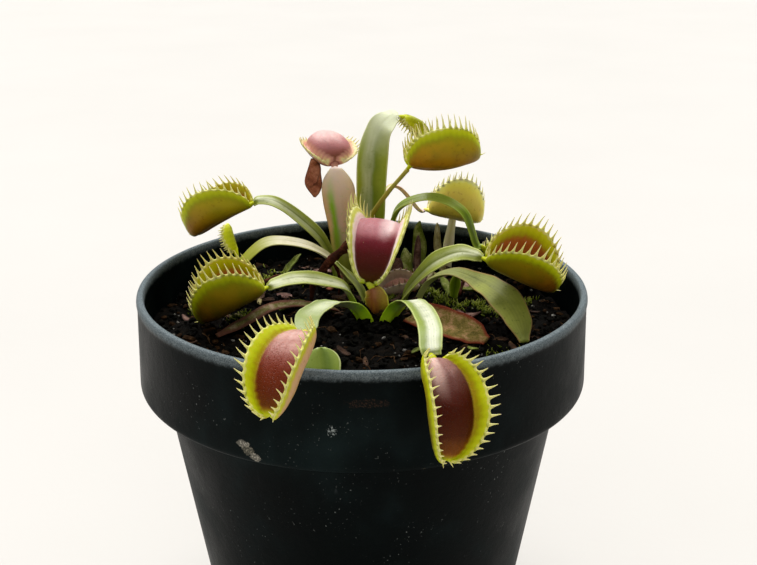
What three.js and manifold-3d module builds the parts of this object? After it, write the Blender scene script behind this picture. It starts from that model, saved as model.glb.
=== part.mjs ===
// A potted Venus flytrap: a tapered plastic nursery pot with a deep rim band, its potting mix,
// and two rosettes of leaves, each a flat leafy stalk with a hinged snap trap at its end.
// Lengths are millimetres. The origin is the centre of the pot's underside and +Z is up.

import * as THREE from "three";
import { mergeVertices } from "three/addons/utils/BufferGeometryUtils.js";
import Module from "manifold-3d";

const wasm = await Module();
wasm.setup();

// Pot
const POT_HEIGHT = 110;
const RIM_INNER_RADIUS = 57.6;
const BAND_OUTER_RADIUS = 60;
const LIP_OUTER_RADIUS = 59.7;
const BAND_HEIGHT = 25;
const WALL_UNDER_BAND_RADIUS = 53.6;
const BASE_RADIUS = 39.8;
const WALL_THICKNESS = 1.8;
const FLOOR_THICKNESS = 2.5;
const FOOT_BEVEL = 1.2;
const BAND_BEVEL = 0.8;
const LIP_BEVEL = 0.6;
const LIP_DEPTH = 2.2;
const LIP_SHOULDER = 0.9;
const LIP_CROWN = 0.1;
const LIP_UNDERCUT = 0.2;
const BAND_STEP = 1;
const BAND_FOOT = POT_HEIGHT - BAND_HEIGHT;
const BAND_INNER_RADIUS = RIM_INNER_RADIUS - 0.6;
const WALL_INNER_RADIUS = WALL_UNDER_BAND_RADIUS - WALL_THICKNESS;
const FLOOR_RADIUS = BASE_RADIUS - WALL_THICKNESS + 0.3;
const POT_SIDES = 60;

// Potting mix: depth of its middle under the rim, how much lower its edge lies, and its bumps
const SOIL_DEPTH = 10.5;
const SOIL_EDGE_DROP = 1.2;
const SOIL_BUMP = 0.8;
const CALM_RADIUS = 16;
const CALM_WIDTH = 14;
const CALM_SHARE = 0.45;
const SOIL_RINGS = 12;
const SOIL_SIDES = 60;
const SOIL_SIDE_GAP = 0.55;
const SOIL_SHOULDER = [1.8, -1.4];

// Clearance between neighbours, depth of the stalks' holes, and the distance at which points join
const GAP = 0.3;
const HOLE_DEPTH = 5;
const WELD = 1e-4;

// Leaf stalk: thickness at its edges and, from root to end, at its midrib
const EDGE_THICKNESS = 0.7;
const MIDRIB_THICKNESS = [2, 1.5, 1.2, 1.2, 1.4];
const BLADE_STATIONS = 11;
const FOLD = 0.2;
const FOLD_START = 0.05;
const STALK_END_STRAIGHT = 2;

// Trap lobes. Shares of a lobe's width run from the midrib (0) to the margin (1).
const TRAP_STATIONS = 7;
const TRAP_STEPS = [0.25, 0.5, 0.75];
const LOBE_THICKNESS = 0.9;
const CUSHION = 1;
const CUSHION_SHARE = 0.85;
const BELLY_ROUNDING = 0.5;
const BELLY_END_ROUNDING = 0.6;
const END_SHARE = 0.03;
const END_REACH = 0.07;
const END_ROUNDING = 0.9;
const JOINT_FLARE = 0.1;
const TIP_FLARE = 0.05;
const BEND_FROM = 0.15;
const BEND_TO = 0.6;
const FLOOR_LEAN = 108;
const NORMAL_STEP = 0.01;

// Trap neck, as [distance along the midrib, radius]
const NECK_LENGTH = 1.8;
const NECK_RINGS = [[-NECK_LENGTH, 0.6], [-1.2, 0.9], [0.6, 1], [3.2, 0.7]];
const NECK_SIDES = 6;

// Marginal spines: they fan out along the margin, lean into the mouth and vary a little
const SPINE_LENGTH = 3.4;
const SPINE_ROOT_FROM = 0.9;
const SPINE_END_SHARE = 0.5;
const SPINE_FAN = 0.4;
const SPINE_LEAN = 0.18;
const SPINE_SCATTER = 0.1;

// Seeds of the spines' random draws
const FIRST_SEED = 11;
const SEED_STEP = 7;
const WITHERED_SEED = 5;

const GREEN = 0x7f9a4a;
const TRAP_GREEN = 0xb4bd3c;
const PALE = 0xd2cf8a;
const OLD_GREEN = 0x77773f;
const DEAD_BROWN = 0x6b4a33;
const DEAD_PINK = 0x9c8078;
const BLACK_PLASTIC = 0x16191c;
const SOIL_BLACK = 0x191310;

// Leaves. All points are from the centre of the rim plane: x to the right, y to the back, z up.
// path is the stalk's middle line from the soil on. It runs on to the trap, where there is one.
// width, middle (midrib thickness) and twist (degrees) are spaced evenly from root to end.
// across is the azimuth in which an upright stalk is broad.
// A trap points along aim and opens towards open, each as [azimuth, elevation] in degrees.
// gape is the lean of each lobe's margin away from the opening direction, in degrees.
// heel and toe are the shares of a lobe's width that it keeps at the joint and at the tip.
// neck is the direction in which the stalk meets the joint, where it isn't aim.
// spine is the length of the longest spines, slant makes them longer towards the tip,
// and belly is told at innerPoint.
const LEAVES = [
  {
    name: "front_right",
    path: [[6.8, -3.6, -10], [9.4, -7, -4.4], [12.4, -18, 1.2], [14.6, -34, 5], [15.9, -49, 6.6]],
    width: [3.8, 4.4, 5.2, 5.6, 5.4, 5, 4],
    fold: 0.25,
    twist: [0, 0, 5],
    color: GREEN,
    trap: {
      joint: [16.4, -58.7, 1.8], aim: [-78.4, -55], open: [-64.3, 10], neck: [-80, -42],
      length: 21.2, width: 10.7, gape: [14, 34], arch: 0.17, heel: 0.38, spines: 15, spine: 3,
      slant: -0.2, belly: [0.62, 0.9],
    },
  },
  {
    name: "front_left",
    path: [[0.8, -3.8, -10], [-2.4, -7.6, -4], [-7.2, -19, 1.2], [-9.8, -34, 5.6], [-11.6, -47, 8.4]],
    width: [3.8, 4.4, 5.2, 5.8, 5.6, 5, 3.4],
    fold: 0.25,
    twist: [0, 0, -5],
    color: GREEN,
    trap: {
      joint: [-12.2, -56.2, 7], aim: [-108.3, -27.6], open: [-103.6, 17.6], neck: [-95, -15],
      length: 22, width: 9.6, gape: [46, -6], arch: 0.17, heel: 0.25, toe: 0.15, spines: 14, spine: 3,
      belly: [0.62, 0.9],
    },
  },
  {
    name: "centre",
    path: [[4, 4.5, -10], [3.9, -0.2, -7]],
    width: [5, 6.4, 6.4, 4.2],
    middle: [3, 3, 2.6, 1.6],
    fold: 0.3,
    color: OLD_GREEN,
    trap: {
      joint: [1.9, 1.4, -0.5], aim: [80.4, 15.6], open: [-88.6, 58.4], neck: [130, 55],
      length: 23.4, width: 11.7, gape: [23, 23.5], arch: 0.36, heel: 0.29, toe: 0.19, spines: 15,
      spine: 4.4, slant: 0.45, belly: [0.62, 1],
    },
  },
  {
    name: "left",
    path: [[-2, 7.5, -10], [-4.5, 8.5, -5], [-9.5, 7.6, -2.6], [-15, 4, -0.4], [-19, 0.6, 0.6]],
    width: [4, 4.2, 4.8, 5, 4.4, 3.4, 2],
    fold: 0.3,
    twist: [0, -30, -30],
    color: GREEN,
    trap: {
      joint: [-26.9, -4.5, -0.9], aim: [185.5, -26], open: [-90, 94],
      length: 17.4, width: 18.5, gape: [-7, 9.5], arch: 0.05, spines: 14, spine: 3.8,
    },
  },
  {
    name: "right",
    path: [[10.5, 6.5, -10], [12, 5, -4.5], [17.3, 2, 3.2], [21.8, 0, 6.9], [26, -2.4, 9]],
    width: [4, 4.6, 5.6, 5.8, 5, 3.4, 2],
    fold: 0.3,
    twist: [0, 45, 45],
    color: GREEN,
    trap: {
      joint: [33.5, -4.6, 7.4], aim: [-1.5, -23.5], open: [-90, 91],
      length: 18, width: 18.8, gape: [29, -3], arch: 0.05, spines: 14, spine: 3.8,
    },
  },
  {
    name: "back_tall",
    path: [[5.2, 29.5, -10], [3, 29.3, 0], [2.6, 28.6, 10], [7, 27.2, 17.6]],
    width: [3.2, 3, 2.8, 2.6, 2.4],
    color: GREEN,
    trap: {
      joint: [13.8, 25.6, 26.2], aim: [11.3, 2.9], open: [94.5, 72], neck: [-14, 50],
      length: 18.6, width: 16.6, gape: [1, -3.5], arch: -0.06, heel: 0.12, toe: 0.12, spines: 15,
      spine: 4.2,
    },
  },
  {
    name: "back_broad",
    path: [
      [1.8, 36, -10], [2, 35, 0], [2.1, 33.5, 12], [2.7, 32, 26],
      [4.6, 33.2, 34], [7.8, 36, 37.2],
    ],
    width: [4, 5, 7, 8.4, 8.6, 7.2, 4.6, 2.4],
    fold: 0.2,
    twist: [85, 84, 76, 50, 15],
    color: GREEN,
    trap: {
      joint: [12.4, 38, 36.9], aim: [27, -40], open: [205, -42], neck: [15, -8],
      length: 9, width: 5.6, gape: [2, 2], arch: -0.12, heel: 0.2, spines: 10, spine: 1.8,
    },
  },
  {
    name: "back_left",
    path: [[-5.4, 33.5, -10], [-6, 32.4, 2], [-7, 29.6, 14]],
    width: [4, 6, 9, 10.5, 10.5, 8.5, 3],
    fold: -0.4,
    across: 180,
    color: OLD_GREEN,
    trap: {
      joint: [-8.4, 30, 25.4], aim: [112, 14], open: [-80, 68], neck: [100, 25],
      length: 12, width: 9.4, gape: [62, 36], arch: 0, heel: 0.3, toe: 0.2, spines: 10,
      spine: 1.6, belly: [0.72, 3.2],
    },
  },
  {
    name: "far_left",
    path: [[-7.5, 28, -10], [-9, 27, -3], [-12.5, 25.5, 4.5], [-19.5, 24, 11.8], [-25, 23, 15.8]],
    width: [3.6, 4, 4.6, 4.8, 4, 3, 2],
    fold: 0.3,
    twist: [0, -35, -35],
    color: GREEN,
    trap: {
      joint: [-32.7, 24, 14.3], aim: [163.5, -30.5], open: [90, 83],
      length: 18.9, width: 15.2, gape: [-12, 9], arch: 0.05, spines: 13, spine: 3,
    },
  },
  {
    name: "mid_left",
    path: [[-4, 25, -10], [-6.5, 21, -3], [-13, 16, 4], [-21, 12.5, 7.4], [-27.4, 10.8, 7.2]],
    width: [3.4, 3.6, 3.8, 3.8, 3.4, 2.8, 2],
    fold: 0.3,
    twist: [0, -25, -25],
    color: GREEN,
    trap: {
      joint: [-35, 9.6, 6], aim: [125, 60], open: [180, 10],
      length: 7, width: 4.4, gape: [-2, -2], arch: 0, spines: 8, spine: 1.2,
      belly: [0.8, 0.2],
    },
  },
  {
    name: "mid_right",
    path: [
      [8, 34, -10], [7.6, 33, 2], [9.5, 29.5, 11.5],
      [15.5, 25, 16.2], [21.6, 22.5, 16.9], [28.5, 21.4, 13],
    ],
    width: [3.4, 3.6, 3.8, 3.6, 3.2, 2.8, 2.4, 2],
    fold: 0.3,
    twist: [0, 25, 25],
    color: GREEN,
    trap: {
      joint: [35.5, 22, 1.6], aim: [-4, -32], open: [80, 40],
      length: 15, width: 8.5, gape: [14, 14], arch: 0.04, spines: 12,
    },
  },
  {
    name: "back_right",
    path: [[-0.9, 40, -10], [1.6, 43, 5], [9, 46.4, 14.4]],
    width: [3.4, 3.6, 3.4, 2.8, 2],
    color: OLD_GREEN,
    trap: {
      joint: [20.5, 47, 6.2], aim: [0, -12], open: [86, 70],
      length: 14.5, width: 18.5, gape: [14, 0], arch: 0.04, spines: 13, spine: 2.4, color: PALE,
    },
  },
  {
    name: "young_left",
    path: [[0.5, 11, -10], [-1.5, 11.8, -5], [-7.5, 13, 1.2]],
    width: [2.4, 3, 3.2, 2.4, 0.9],
    fold: 0.3,
    twist: [0, -30],
    color: GREEN,
  },
  {
    name: "drooping",
    path: [
      [16, 16, -10], [19.4, 15.6, -4.4], [25.4, 11, -1],
      [31.6, 2.6, -0.8], [36.6, -6, -1.6], [40, -13.5, -4.8], [41.6, -19.5, -9.4],
    ],
    width: [2.6, 2.8, 2.8, 2.8, 3.6, 6.6, 8.6, 7.4, 2.8],
    fold: 0.25,
    twist: [0, 20, 34, 20, 10],
    color: OLD_GREEN,
  },
  {
    name: "old_left",
    path: [
      [-7, 4.5, -10], [-13, 0.8, -7.2], [-19, -0.6, -6.2],
      [-25, -2, -6.8], [-31, -7.5, -8.5], [-37.5, -14, -9.8],
    ],
    width: [2.6, 3, 4, 4.2, 3.4, 3.4, 3.4, 3, 1.4],
    fold: 0.3,
    twist: [0, -20],
    color: DEAD_BROWN,
  },
  {
    name: "dead_right",
    path: [[12.8, -0.8, -10], [14.8, -4.8, -7.8], [21, -11, -7.8], [27, -14.5, -8.2], [32, -18, -9.6]],
    width: [3, 4, 6.6, 8.6, 9.4, 9.2, 7.4, 3],
    fold: 0.5,
    twist: [0, 25, 25],
    color: DEAD_BROWN,
  },
  {
    name: "seedling",
    path: [[-9, -42, -11.2], [-9, -41, -8], [-9.4, -37.4, -3.4]],
    width: [2, 3.6, 6.4, 7.8, 7.8, 6.4, 2.6],
    fold: 0.2,
    across: 180,
    color: GREEN,
  },
  {
    name: "old_back",
    path: [[25, 42, -10], [25.6, 42.6, -3], [26.6, 43.4, 4.5]],
    width: [2.6, 2.8, 3, 2],
    fold: 0.3,
    across: 180,
    color: OLD_GREEN,
  },
  {
    name: "young_right",
    path: [[25.6, 15.4, -10], [25.9, 15, -6], [26.5, 14.6, -2.4]],
    width: [1.6, 2, 3, 1.2],
    fold: 0.3,
    across: 180,
    color: GREEN,
  },
];

// A withered trap that lies on the soil between the rosettes.
const WITHERED = {
  joint: [5.5, 19, -9.5], aim: [12, 6], open: [-70, 62],
  length: 10, width: 7, gape: [-4, -8], arch: 0.1, spines: 8, spine: 1.6,
};

const rootGroup = new THREE.Group();
rootGroup.name = "potted_venus_flytrap";

// Seeded random numbers between 0 and 1.
function seeded(seed) {
  let state = seed >>> 0;
  return () => {
    state = (state * 1664525 + 1013904223) >>> 0;
    return state / 4294967296;
  };
}

const rad = THREE.MathUtils.degToRad;
const vec = (p) => new THREE.Vector3(p[0], p[1], p[2]);

// A unit vector from an azimuth and an elevation in degrees.
function heading([azimuth, elevation]) {
  const a = rad(azimuth);
  const e = rad(elevation);
  return new THREE.Vector3(Math.cos(a) * Math.cos(e), Math.sin(a) * Math.cos(e), Math.sin(e));
}

// The value of a list at t from 0 to 1, eased between its evenly spaced entries.
function along(list, t) {
  const at = t * (list.length - 1);
  const i = Math.min(Math.floor(at), list.length - 2);
  const f = at - i;
  const ease = f * f * (3 - 2 * f);
  return list[i] + (list[i + 1] - list[i]) * ease;
}

// A closed solid from coordinates and faces.
function closedSolid(coordinates, faces) {
  return new wasm.Manifold(
    new wasm.Mesh({
      numProp: 3,
      vertProperties: new Float32Array(coordinates),
      triVerts: new Uint32Array(faces),
    }),
  );
}

// A closed solid from a lathed or extruded geometry.
function solidOf(geometry) {
  geometry.deleteAttribute("normal");
  geometry.deleteAttribute("uv");
  const merged = mergeVertices(geometry, WELD);
  return closedSolid(merged.attributes.position.array, merged.index.array);
}

// A closed solid between two grids of points of one size, one on each face of a sheet.
function sheetSolid(front, back) {
  const rows = front.length;
  const cols = front[0].length;
  const points = [...front.flat(), ...back.flat()];
  const index = [];
  const f = (i, j) => i * cols + j;
  const b = (i, j) => rows * cols + i * cols + j;
  const quad = (p, q, r, s) => index.push(p, q, r, p, r, s);
  for (let i = 0; i < rows - 1; i++) {
    for (let j = 0; j < cols - 1; j++) {
      quad(f(i, j), f(i, j + 1), f(i + 1, j + 1), f(i + 1, j));
      quad(b(i, j), b(i + 1, j), b(i + 1, j + 1), b(i, j + 1));
    }
    quad(f(i, 0), f(i + 1, 0), b(i + 1, 0), b(i, 0));
    quad(f(i + 1, cols - 1), f(i, cols - 1), b(i, cols - 1), b(i + 1, cols - 1));
  }
  for (let j = 0; j < cols - 1; j++) {
    quad(f(0, j + 1), f(0, j), b(0, j), b(0, j + 1));
    quad(f(rows - 1, j), f(rows - 1, j + 1), b(rows - 1, j + 1), b(rows - 1, j));
  }
  return meshSolid(points, index);
}

// A closed solid from points and faces, turned to face out.
function meshSolid(points, index) {
  const coordinates = points.flatMap((p) => [p.x, p.y, p.z]);
  const made = closedSolid(coordinates, index);
  if (made.volume() > 0) return made;
  const turned = [];
  for (let i = 0; i < index.length; i += 3) turned.push(index[i], index[i + 2], index[i + 1]);
  return closedSolid(coordinates, turned);
}

// A tapered bar through a list of centres, with one radius for each.
function barSolid(centres, radii, sides, upHint) {
  const points = [];
  const index = [];
  const rings = [];
  const last = centres.length - 1;
  centres.forEach((centre, k) => {
    const before = centres[Math.max(k - 1, 0)];
    const after = centres[Math.min(k + 1, last)];
    const tangent = after.clone().sub(before).normalize();
    const side = new THREE.Vector3().crossVectors(tangent, upHint).normalize();
    const up = new THREE.Vector3().crossVectors(side, tangent);
    const ring = [];
    for (let i = 0; i < sides; i++) {
      const a = (2 * Math.PI * i) / sides;
      ring.push(points.length);
      points.push(
        centre
          .clone()
          .addScaledVector(side, radii[k] * Math.cos(a))
          .addScaledVector(up, radii[k] * Math.sin(a)),
      );
    }
    rings.push(ring);
  });
  for (let k = 0; k < last; k++) {
    for (let i = 0; i < sides; i++) {
      const n = (i + 1) % sides;
      const [a, b, c, d] = [rings[k][i], rings[k][n], rings[k + 1][n], rings[k + 1][i]];
      index.push(a, b, c, a, c, d);
    }
  }
  for (let i = 1; i < sides - 1; i++) {
    index.push(rings[0][0], rings[0][i + 1], rings[0][i]);
    index.push(rings[last][0], rings[last][i], rings[last][i + 1]);
  }
  return meshSolid(points, index);
}

// The trap's own axes: x along the midrib, z out of the mouth.
function trapAxes(trap) {
  const x = heading(trap.aim);
  const z = heading(trap.open);
  z.addScaledVector(x, -z.dot(x)).normalize();
  const y = new THREE.Vector3().crossVectors(z, x);
  return { x, y, z };
}

// A point of the trap's middle sheet. s runs from the joint (0) to the tip (1),
// and u from one margin (-1) over the midrib (0) to the other margin (1).
// Across, each lobe is level by the midrib, bends up round the trap's floor and ends straight.
function lobePoint(trap, s, u) {
  const t = Math.abs(u);
  const side = u < 0 ? -1 : 1;
  const phi = Math.PI * s;
  const start = rad(FLOOR_LEAN);
  const end = rad(trap.gape[u < 0 ? 0 : 1]);
  const rate = (end - start) / (BEND_TO - BEND_FROM);
  const level = Math.min(t, BEND_FROM);
  const bent = Math.min(Math.max(t - BEND_FROM, 0), BEND_TO - BEND_FROM);
  const straight = Math.max(t - BEND_TO, 0);
  const endReach = (s < 0.5 ? trap.heel : trap.toe) ?? END_REACH;
  const reach = trap.width * (endReach + (1 - endReach) * Math.sin(phi) ** END_ROUNDING);
  const angle = start + rate * bent;
  const bendOut = (Math.cos(start) - Math.cos(angle)) / rate;
  const bendUp = (Math.sin(angle) - Math.sin(start)) / rate;
  const out = level * Math.sin(start) + bendOut + straight * Math.sin(end);
  const up = level * Math.cos(start) + bendUp + straight * Math.cos(end);
  const flare = (s < 0.5 ? JOINT_FLARE : TIP_FLARE) * t;
  const x = trap.length * (0.5 - (0.5 + flare) * Math.cos(phi));
  const arch = trap.arch * trap.length * Math.sin(phi) ** 2;
  return new THREE.Vector3(x, side * reach * out, arch + reach * up);
}

// The direction in which the sheet faces into the mouth at a point.
function lobeNormal(trap, s, u) {
  const e = NORMAL_STEP;
  const ds = lobePoint(trap, Math.min(s + e, 1), u).sub(lobePoint(trap, Math.max(s - e, 0), u));
  const du = lobePoint(trap, s, Math.min(u + e, 1)).sub(lobePoint(trap, s, Math.max(u - e, -1)));
  return ds.cross(du).normalize();
}

// A point of the face that looks into the mouth. A lobe has a low cushion on it. A trap with a
// belly, [share of the width, height], is filled between its lobes by a barrel over their feet.
function innerPoint(trap, s, u) {
  const skin = (v) => lobePoint(trap, s, v).addScaledVector(lobeNormal(trap, s, v), LOBE_THICKNESS / 2);
  if (!trap.belly) {
    const acrossCushion = Math.min(Math.abs(u) / CUSHION_SHARE, 1);
    const swell = CUSHION * Math.sin(Math.PI * s) * Math.sin(Math.PI * acrossCushion) ** 2;
    return skin(u).addScaledVector(lobeNormal(trap, s, u), swell);
  }
  const [span, bulge] = trap.belly;
  if (Math.abs(u) >= span) return skin(u);
  const across = (u / span + 1) / 2;
  const point = skin(-span).lerp(skin(span), across);
  const fullAlong = Math.sin(Math.PI * s) ** BELLY_END_ROUNDING;
  const fullAcross = Math.sin(Math.PI * across) ** BELLY_ROUNDING;
  point.z += bulge * fullAlong * fullAcross;
  return point;
}

// A trap with its neck and marginal spines as one solid. Each spine is a pyramid drawn out of the margin,
// and the margin has two points for each spine where the rest of the lobe has few.
function trapSolid(trap, joint, seed) {
  const { x, y, z } = trapAxes(trap);
  const place = (p) =>
    joint.clone().addScaledVector(x, p.x).addScaledVector(y, p.y).addScaledVector(z, p.z);
  const points = [];
  const index = [];
  const both = (s, u) => {
    const point = lobePoint(trap, s, u);
    const normal = lobeNormal(trap, s, u);
    points.push(place(innerPoint(trap, s, u)));
    points.push(place(point.clone().addScaledVector(normal, -LOBE_THICKNESS / 2)));
    return { s, inner: points.length - 2, outer: points.length - 1 };
  };
  const share = (k, count) => END_SHARE + ((1 - 2 * END_SHARE) * k) / count;
  const steps = [...TRAP_STEPS.map((t) => -t).reverse(), 0, ...TRAP_STEPS];
  const columns = steps.map((u) =>
    Array.from({ length: TRAP_STATIONS + 1 }, (_, i) => both(share(i, TRAP_STATIONS), u)),
  );
  const fine = 2 * trap.spines + 1;
  const margins = [-1, 1].map((u) =>
    Array.from({ length: fine + 1 }, (_, m) => both(share(m, fine), u)),
  );

  // The faces between two columns, whose points need not be level, alike on both sides of the sheet.
  const zip = (left, right) => {
    let i = 0;
    let j = 0;
    while (i < left.length - 1 || j < right.length - 1) {
      const nextLeft = i < left.length - 1 ? left[i + 1].s : Infinity;
      const nextRight = j < right.length - 1 ? right[j + 1].s : Infinity;
      const third = nextLeft <= nextRight ? left[i + 1] : right[j + 1];
      index.push(left[i].inner, right[j].inner, third.inner);
      index.push(left[i].outer, third.outer, right[j].outer);
      if (nextLeft <= nextRight) i++;
      else j++;
    }
  };
  const all = [margins[0], ...columns, margins[1]];
  for (let c = 0; c < all.length - 1; c++) zip(all[c], all[c + 1]);

  // The joint end and the tip end of the sheet.
  for (let c = 0; c < all.length - 1; c++) {
    const [a, b] = [all[c][0], all[c + 1][0]];
    const [d, e] = [all[c][all[c].length - 1], all[c + 1][all[c + 1].length - 1]];
    index.push(b.inner, a.inner, a.outer, b.inner, a.outer, b.outer);
    index.push(d.inner, e.inner, e.outer, d.inner, e.outer, d.outer);
  }

  // The margins, with a spine on every second stretch.
  const random = seeded(seed);
  const vary = () => random() - 0.5;
  margins.forEach((margin, which) => {
    const side = which === 0 ? -1 : 1;
    for (let m = 0; m < fine; m++) {
      const [a, b] = side < 0 ? [margin[m], margin[m + 1]] : [margin[m + 1], margin[m]];
      if (m % 2 === 0) {
        index.push(a.inner, b.inner, b.outer, a.inner, b.outer, a.outer);
        continue;
      }
      const s = (a.s + b.s) / 2;
      const root = lobePoint(trap, s, side);
      const outward = root.clone().sub(lobePoint(trap, s, side * SPINE_ROOT_FROM)).normalize();
      const [before, after] = [margin[m], margin[m + 1]].map((end) => lobePoint(trap, end.s, side));
      const onward = after.sub(before).normalize();
      const way = outward
        .addScaledVector(onward, SPINE_FAN * (s - 0.5) + SPINE_SCATTER * vary())
        .addScaledVector(lobeNormal(trap, s, side), SPINE_LEAN + SPINE_SCATTER * vary())
        .normalize();
      const fullness = SPINE_END_SHARE + (1 - SPINE_END_SHARE) * Math.sin(Math.PI * s);
      const growth = 1 + (trap.slant ?? 0) * (2 * s - 1);
      const size = (trap.spine ?? SPINE_LENGTH) * fullness * growth;
      const length = size * (1 + 2 * SPINE_SCATTER * vary());
      const tip = points.length;
      points.push(place(root.addScaledVector(way, length)));
      const base = [a.inner, b.inner, b.outer, a.outer];
      base.forEach((corner, k) => index.push(corner, base[(k + 1) % 4], tip));
    }
  });
  const sheet = meshSolid(points, index);

  const behind = heading(trap.neck ?? trap.aim);
  const neck = NECK_RINGS.map(([d]) =>
    d < 0 ? joint.clone().addScaledVector(behind, d) : place(new THREE.Vector3(d, 0, trap.arch * d)),
  );
  const radii = NECK_RINGS.map(([, radius]) => radius);
  return sheet.add(barSolid(neck, radii, NECK_SIDES, z));
}

// The centre line of a leaf stalk, from its root in the soil to just short of its trap's neck.
function stalkCurve(leaf, pad) {
  const points = leaf.path.map(vec);
  const root = points[0].clone();
  root.z -= HOLE_DEPTH + pad;
  points.unshift(root);
  if (leaf.trap) {
    const way = heading(leaf.trap.neck ?? leaf.trap.aim);
    for (const straight of [STALK_END_STRAIGHT, 0]) {
      points.push(vec(leaf.trap.joint).addScaledVector(way, -NECK_LENGTH - GAP - straight));
    }
  }
  for (const point of points) point.z += POT_HEIGHT;
  return new THREE.CatmullRomCurve3(points, false, "catmullrom", 0.5);
}

// The stalk as a ribbon with a keel, `pad` thicker and wider all round.
function stalkSolid(leaf, pad) {
  const curve = stalkCurve(leaf, pad);
  const first = curve.getPoint(0);
  const last = curve.getPoint(1);
  const across = leaf.across
    ? heading([leaf.across, 0])
    : new THREE.Vector3(first.y - last.y, last.x - first.x, 0).normalize();
  const front = [];
  const back = [];
  for (let i = 0; i <= BLADE_STATIONS; i++) {
    const t = i / BLADE_STATIONS;
    const centre = curve.getPoint(t);
    const tangent = curve.getTangent(t);
    const turn = rad(along(leaf.twist ?? [0, 0], t));
    const side = across.clone().addScaledVector(tangent, -across.dot(tangent)).normalize();
    side.applyAxisAngle(tangent, turn);
    const up = new THREE.Vector3().crossVectors(tangent, side);
    const half = along(leaf.width, t) / 2 + pad;
    const middle = along(leaf.middle ?? MIDRIB_THICKNESS, t);
    const folded = (leaf.fold ?? FOLD) * half * Math.sin(Math.PI * Math.min(t + FOLD_START, 1));
    const frontRow = [];
    const backRow = [];
    for (const u of [-1, 0, 1]) {
      const lift = folded * (Math.abs(u) - 0.5);
      const thick = (u === 0 ? middle : EDGE_THICKNESS) / 2 + pad;
      const point = centre.clone().addScaledVector(side, u * half).addScaledVector(up, lift);
      frontRow.push(point.clone().addScaledVector(up, thick));
      backRow.push(point.clone().addScaledVector(up, -thick));
    }
    front.push(frontRow);
    back.push(backRow);
  }
  return sheetSolid(front, back);
}

// Adds a solid to the group as a named mesh with its own material.
function addNode(name, solid, color, roughness) {
  const mesh = solid.getMesh();
  const positions = new Float32Array(mesh.vertProperties);
  const geometry = new THREE.BufferGeometry();
  geometry.setAttribute("position", new THREE.BufferAttribute(positions, 3));
  geometry.setIndex(new THREE.BufferAttribute(new Uint32Array(mesh.triVerts), 1));
  const material = new THREE.MeshStandardMaterial({ color, roughness, metalness: 0 });
  const node = new THREE.Mesh(geometry, material);
  node.name = name;
  rootGroup.add(node);
}

// Pot: one lathed shell, its band and lip included.
function potSolid() {
  const profile = [
    [0, 0],
    [BASE_RADIUS - FOOT_BEVEL, 0],
    [BASE_RADIUS, FOOT_BEVEL],
    [WALL_UNDER_BAND_RADIUS, BAND_FOOT - BAND_STEP],
    [BAND_OUTER_RADIUS - BAND_BEVEL, BAND_FOOT],
    [BAND_OUTER_RADIUS, BAND_FOOT + BAND_BEVEL],
    [LIP_OUTER_RADIUS - LIP_UNDERCUT, POT_HEIGHT - LIP_DEPTH],
    [LIP_OUTER_RADIUS, POT_HEIGHT - LIP_SHOULDER],
    [LIP_OUTER_RADIUS - LIP_BEVEL, POT_HEIGHT - LIP_CROWN],
    [RIM_INNER_RADIUS + LIP_BEVEL, POT_HEIGHT],
    [RIM_INNER_RADIUS, POT_HEIGHT - LIP_BEVEL],
    [BAND_INNER_RADIUS, BAND_FOOT + BAND_STEP],
    [WALL_INNER_RADIUS, BAND_FOOT - 2 * BAND_STEP],
    [FLOOR_RADIUS, FLOOR_THICKNESS],
    [0, FLOOR_THICKNESS],
  ];
  const points = profile.map(([r, z]) => new THREE.Vector2(r, z));
  const lathe = new THREE.LatheGeometry(points, POT_SIDES);
  lathe.rotateX(Math.PI / 2);
  return solidOf(lathe);
}

// How high the potting mix stands at a point, from the rim plane. Its bumps are low round the rosettes.
function soilHeight(x, y) {
  const r = Math.hypot(x, y);
  const waves =
    Math.sin(x * 0.21 + 1.3) * Math.cos(y * 0.17 - 0.4) +
    0.6 * Math.sin(x * 0.43 - y * 0.31 + 2.1) +
    0.4 * Math.cos(x * 0.11 + y * 0.59) +
    Math.sin(x * 0.46 + 0.9) * Math.sin(y * 0.44 - 0.7);
  const calm = Math.min(Math.max((r - CALM_RADIUS) / CALM_WIDTH, CALM_SHARE), 1);
  return SOIL_BUMP * waves * calm - SOIL_DEPTH - SOIL_EDGE_DROP * (r / RIM_INNER_RADIUS) ** 2;
}

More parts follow.
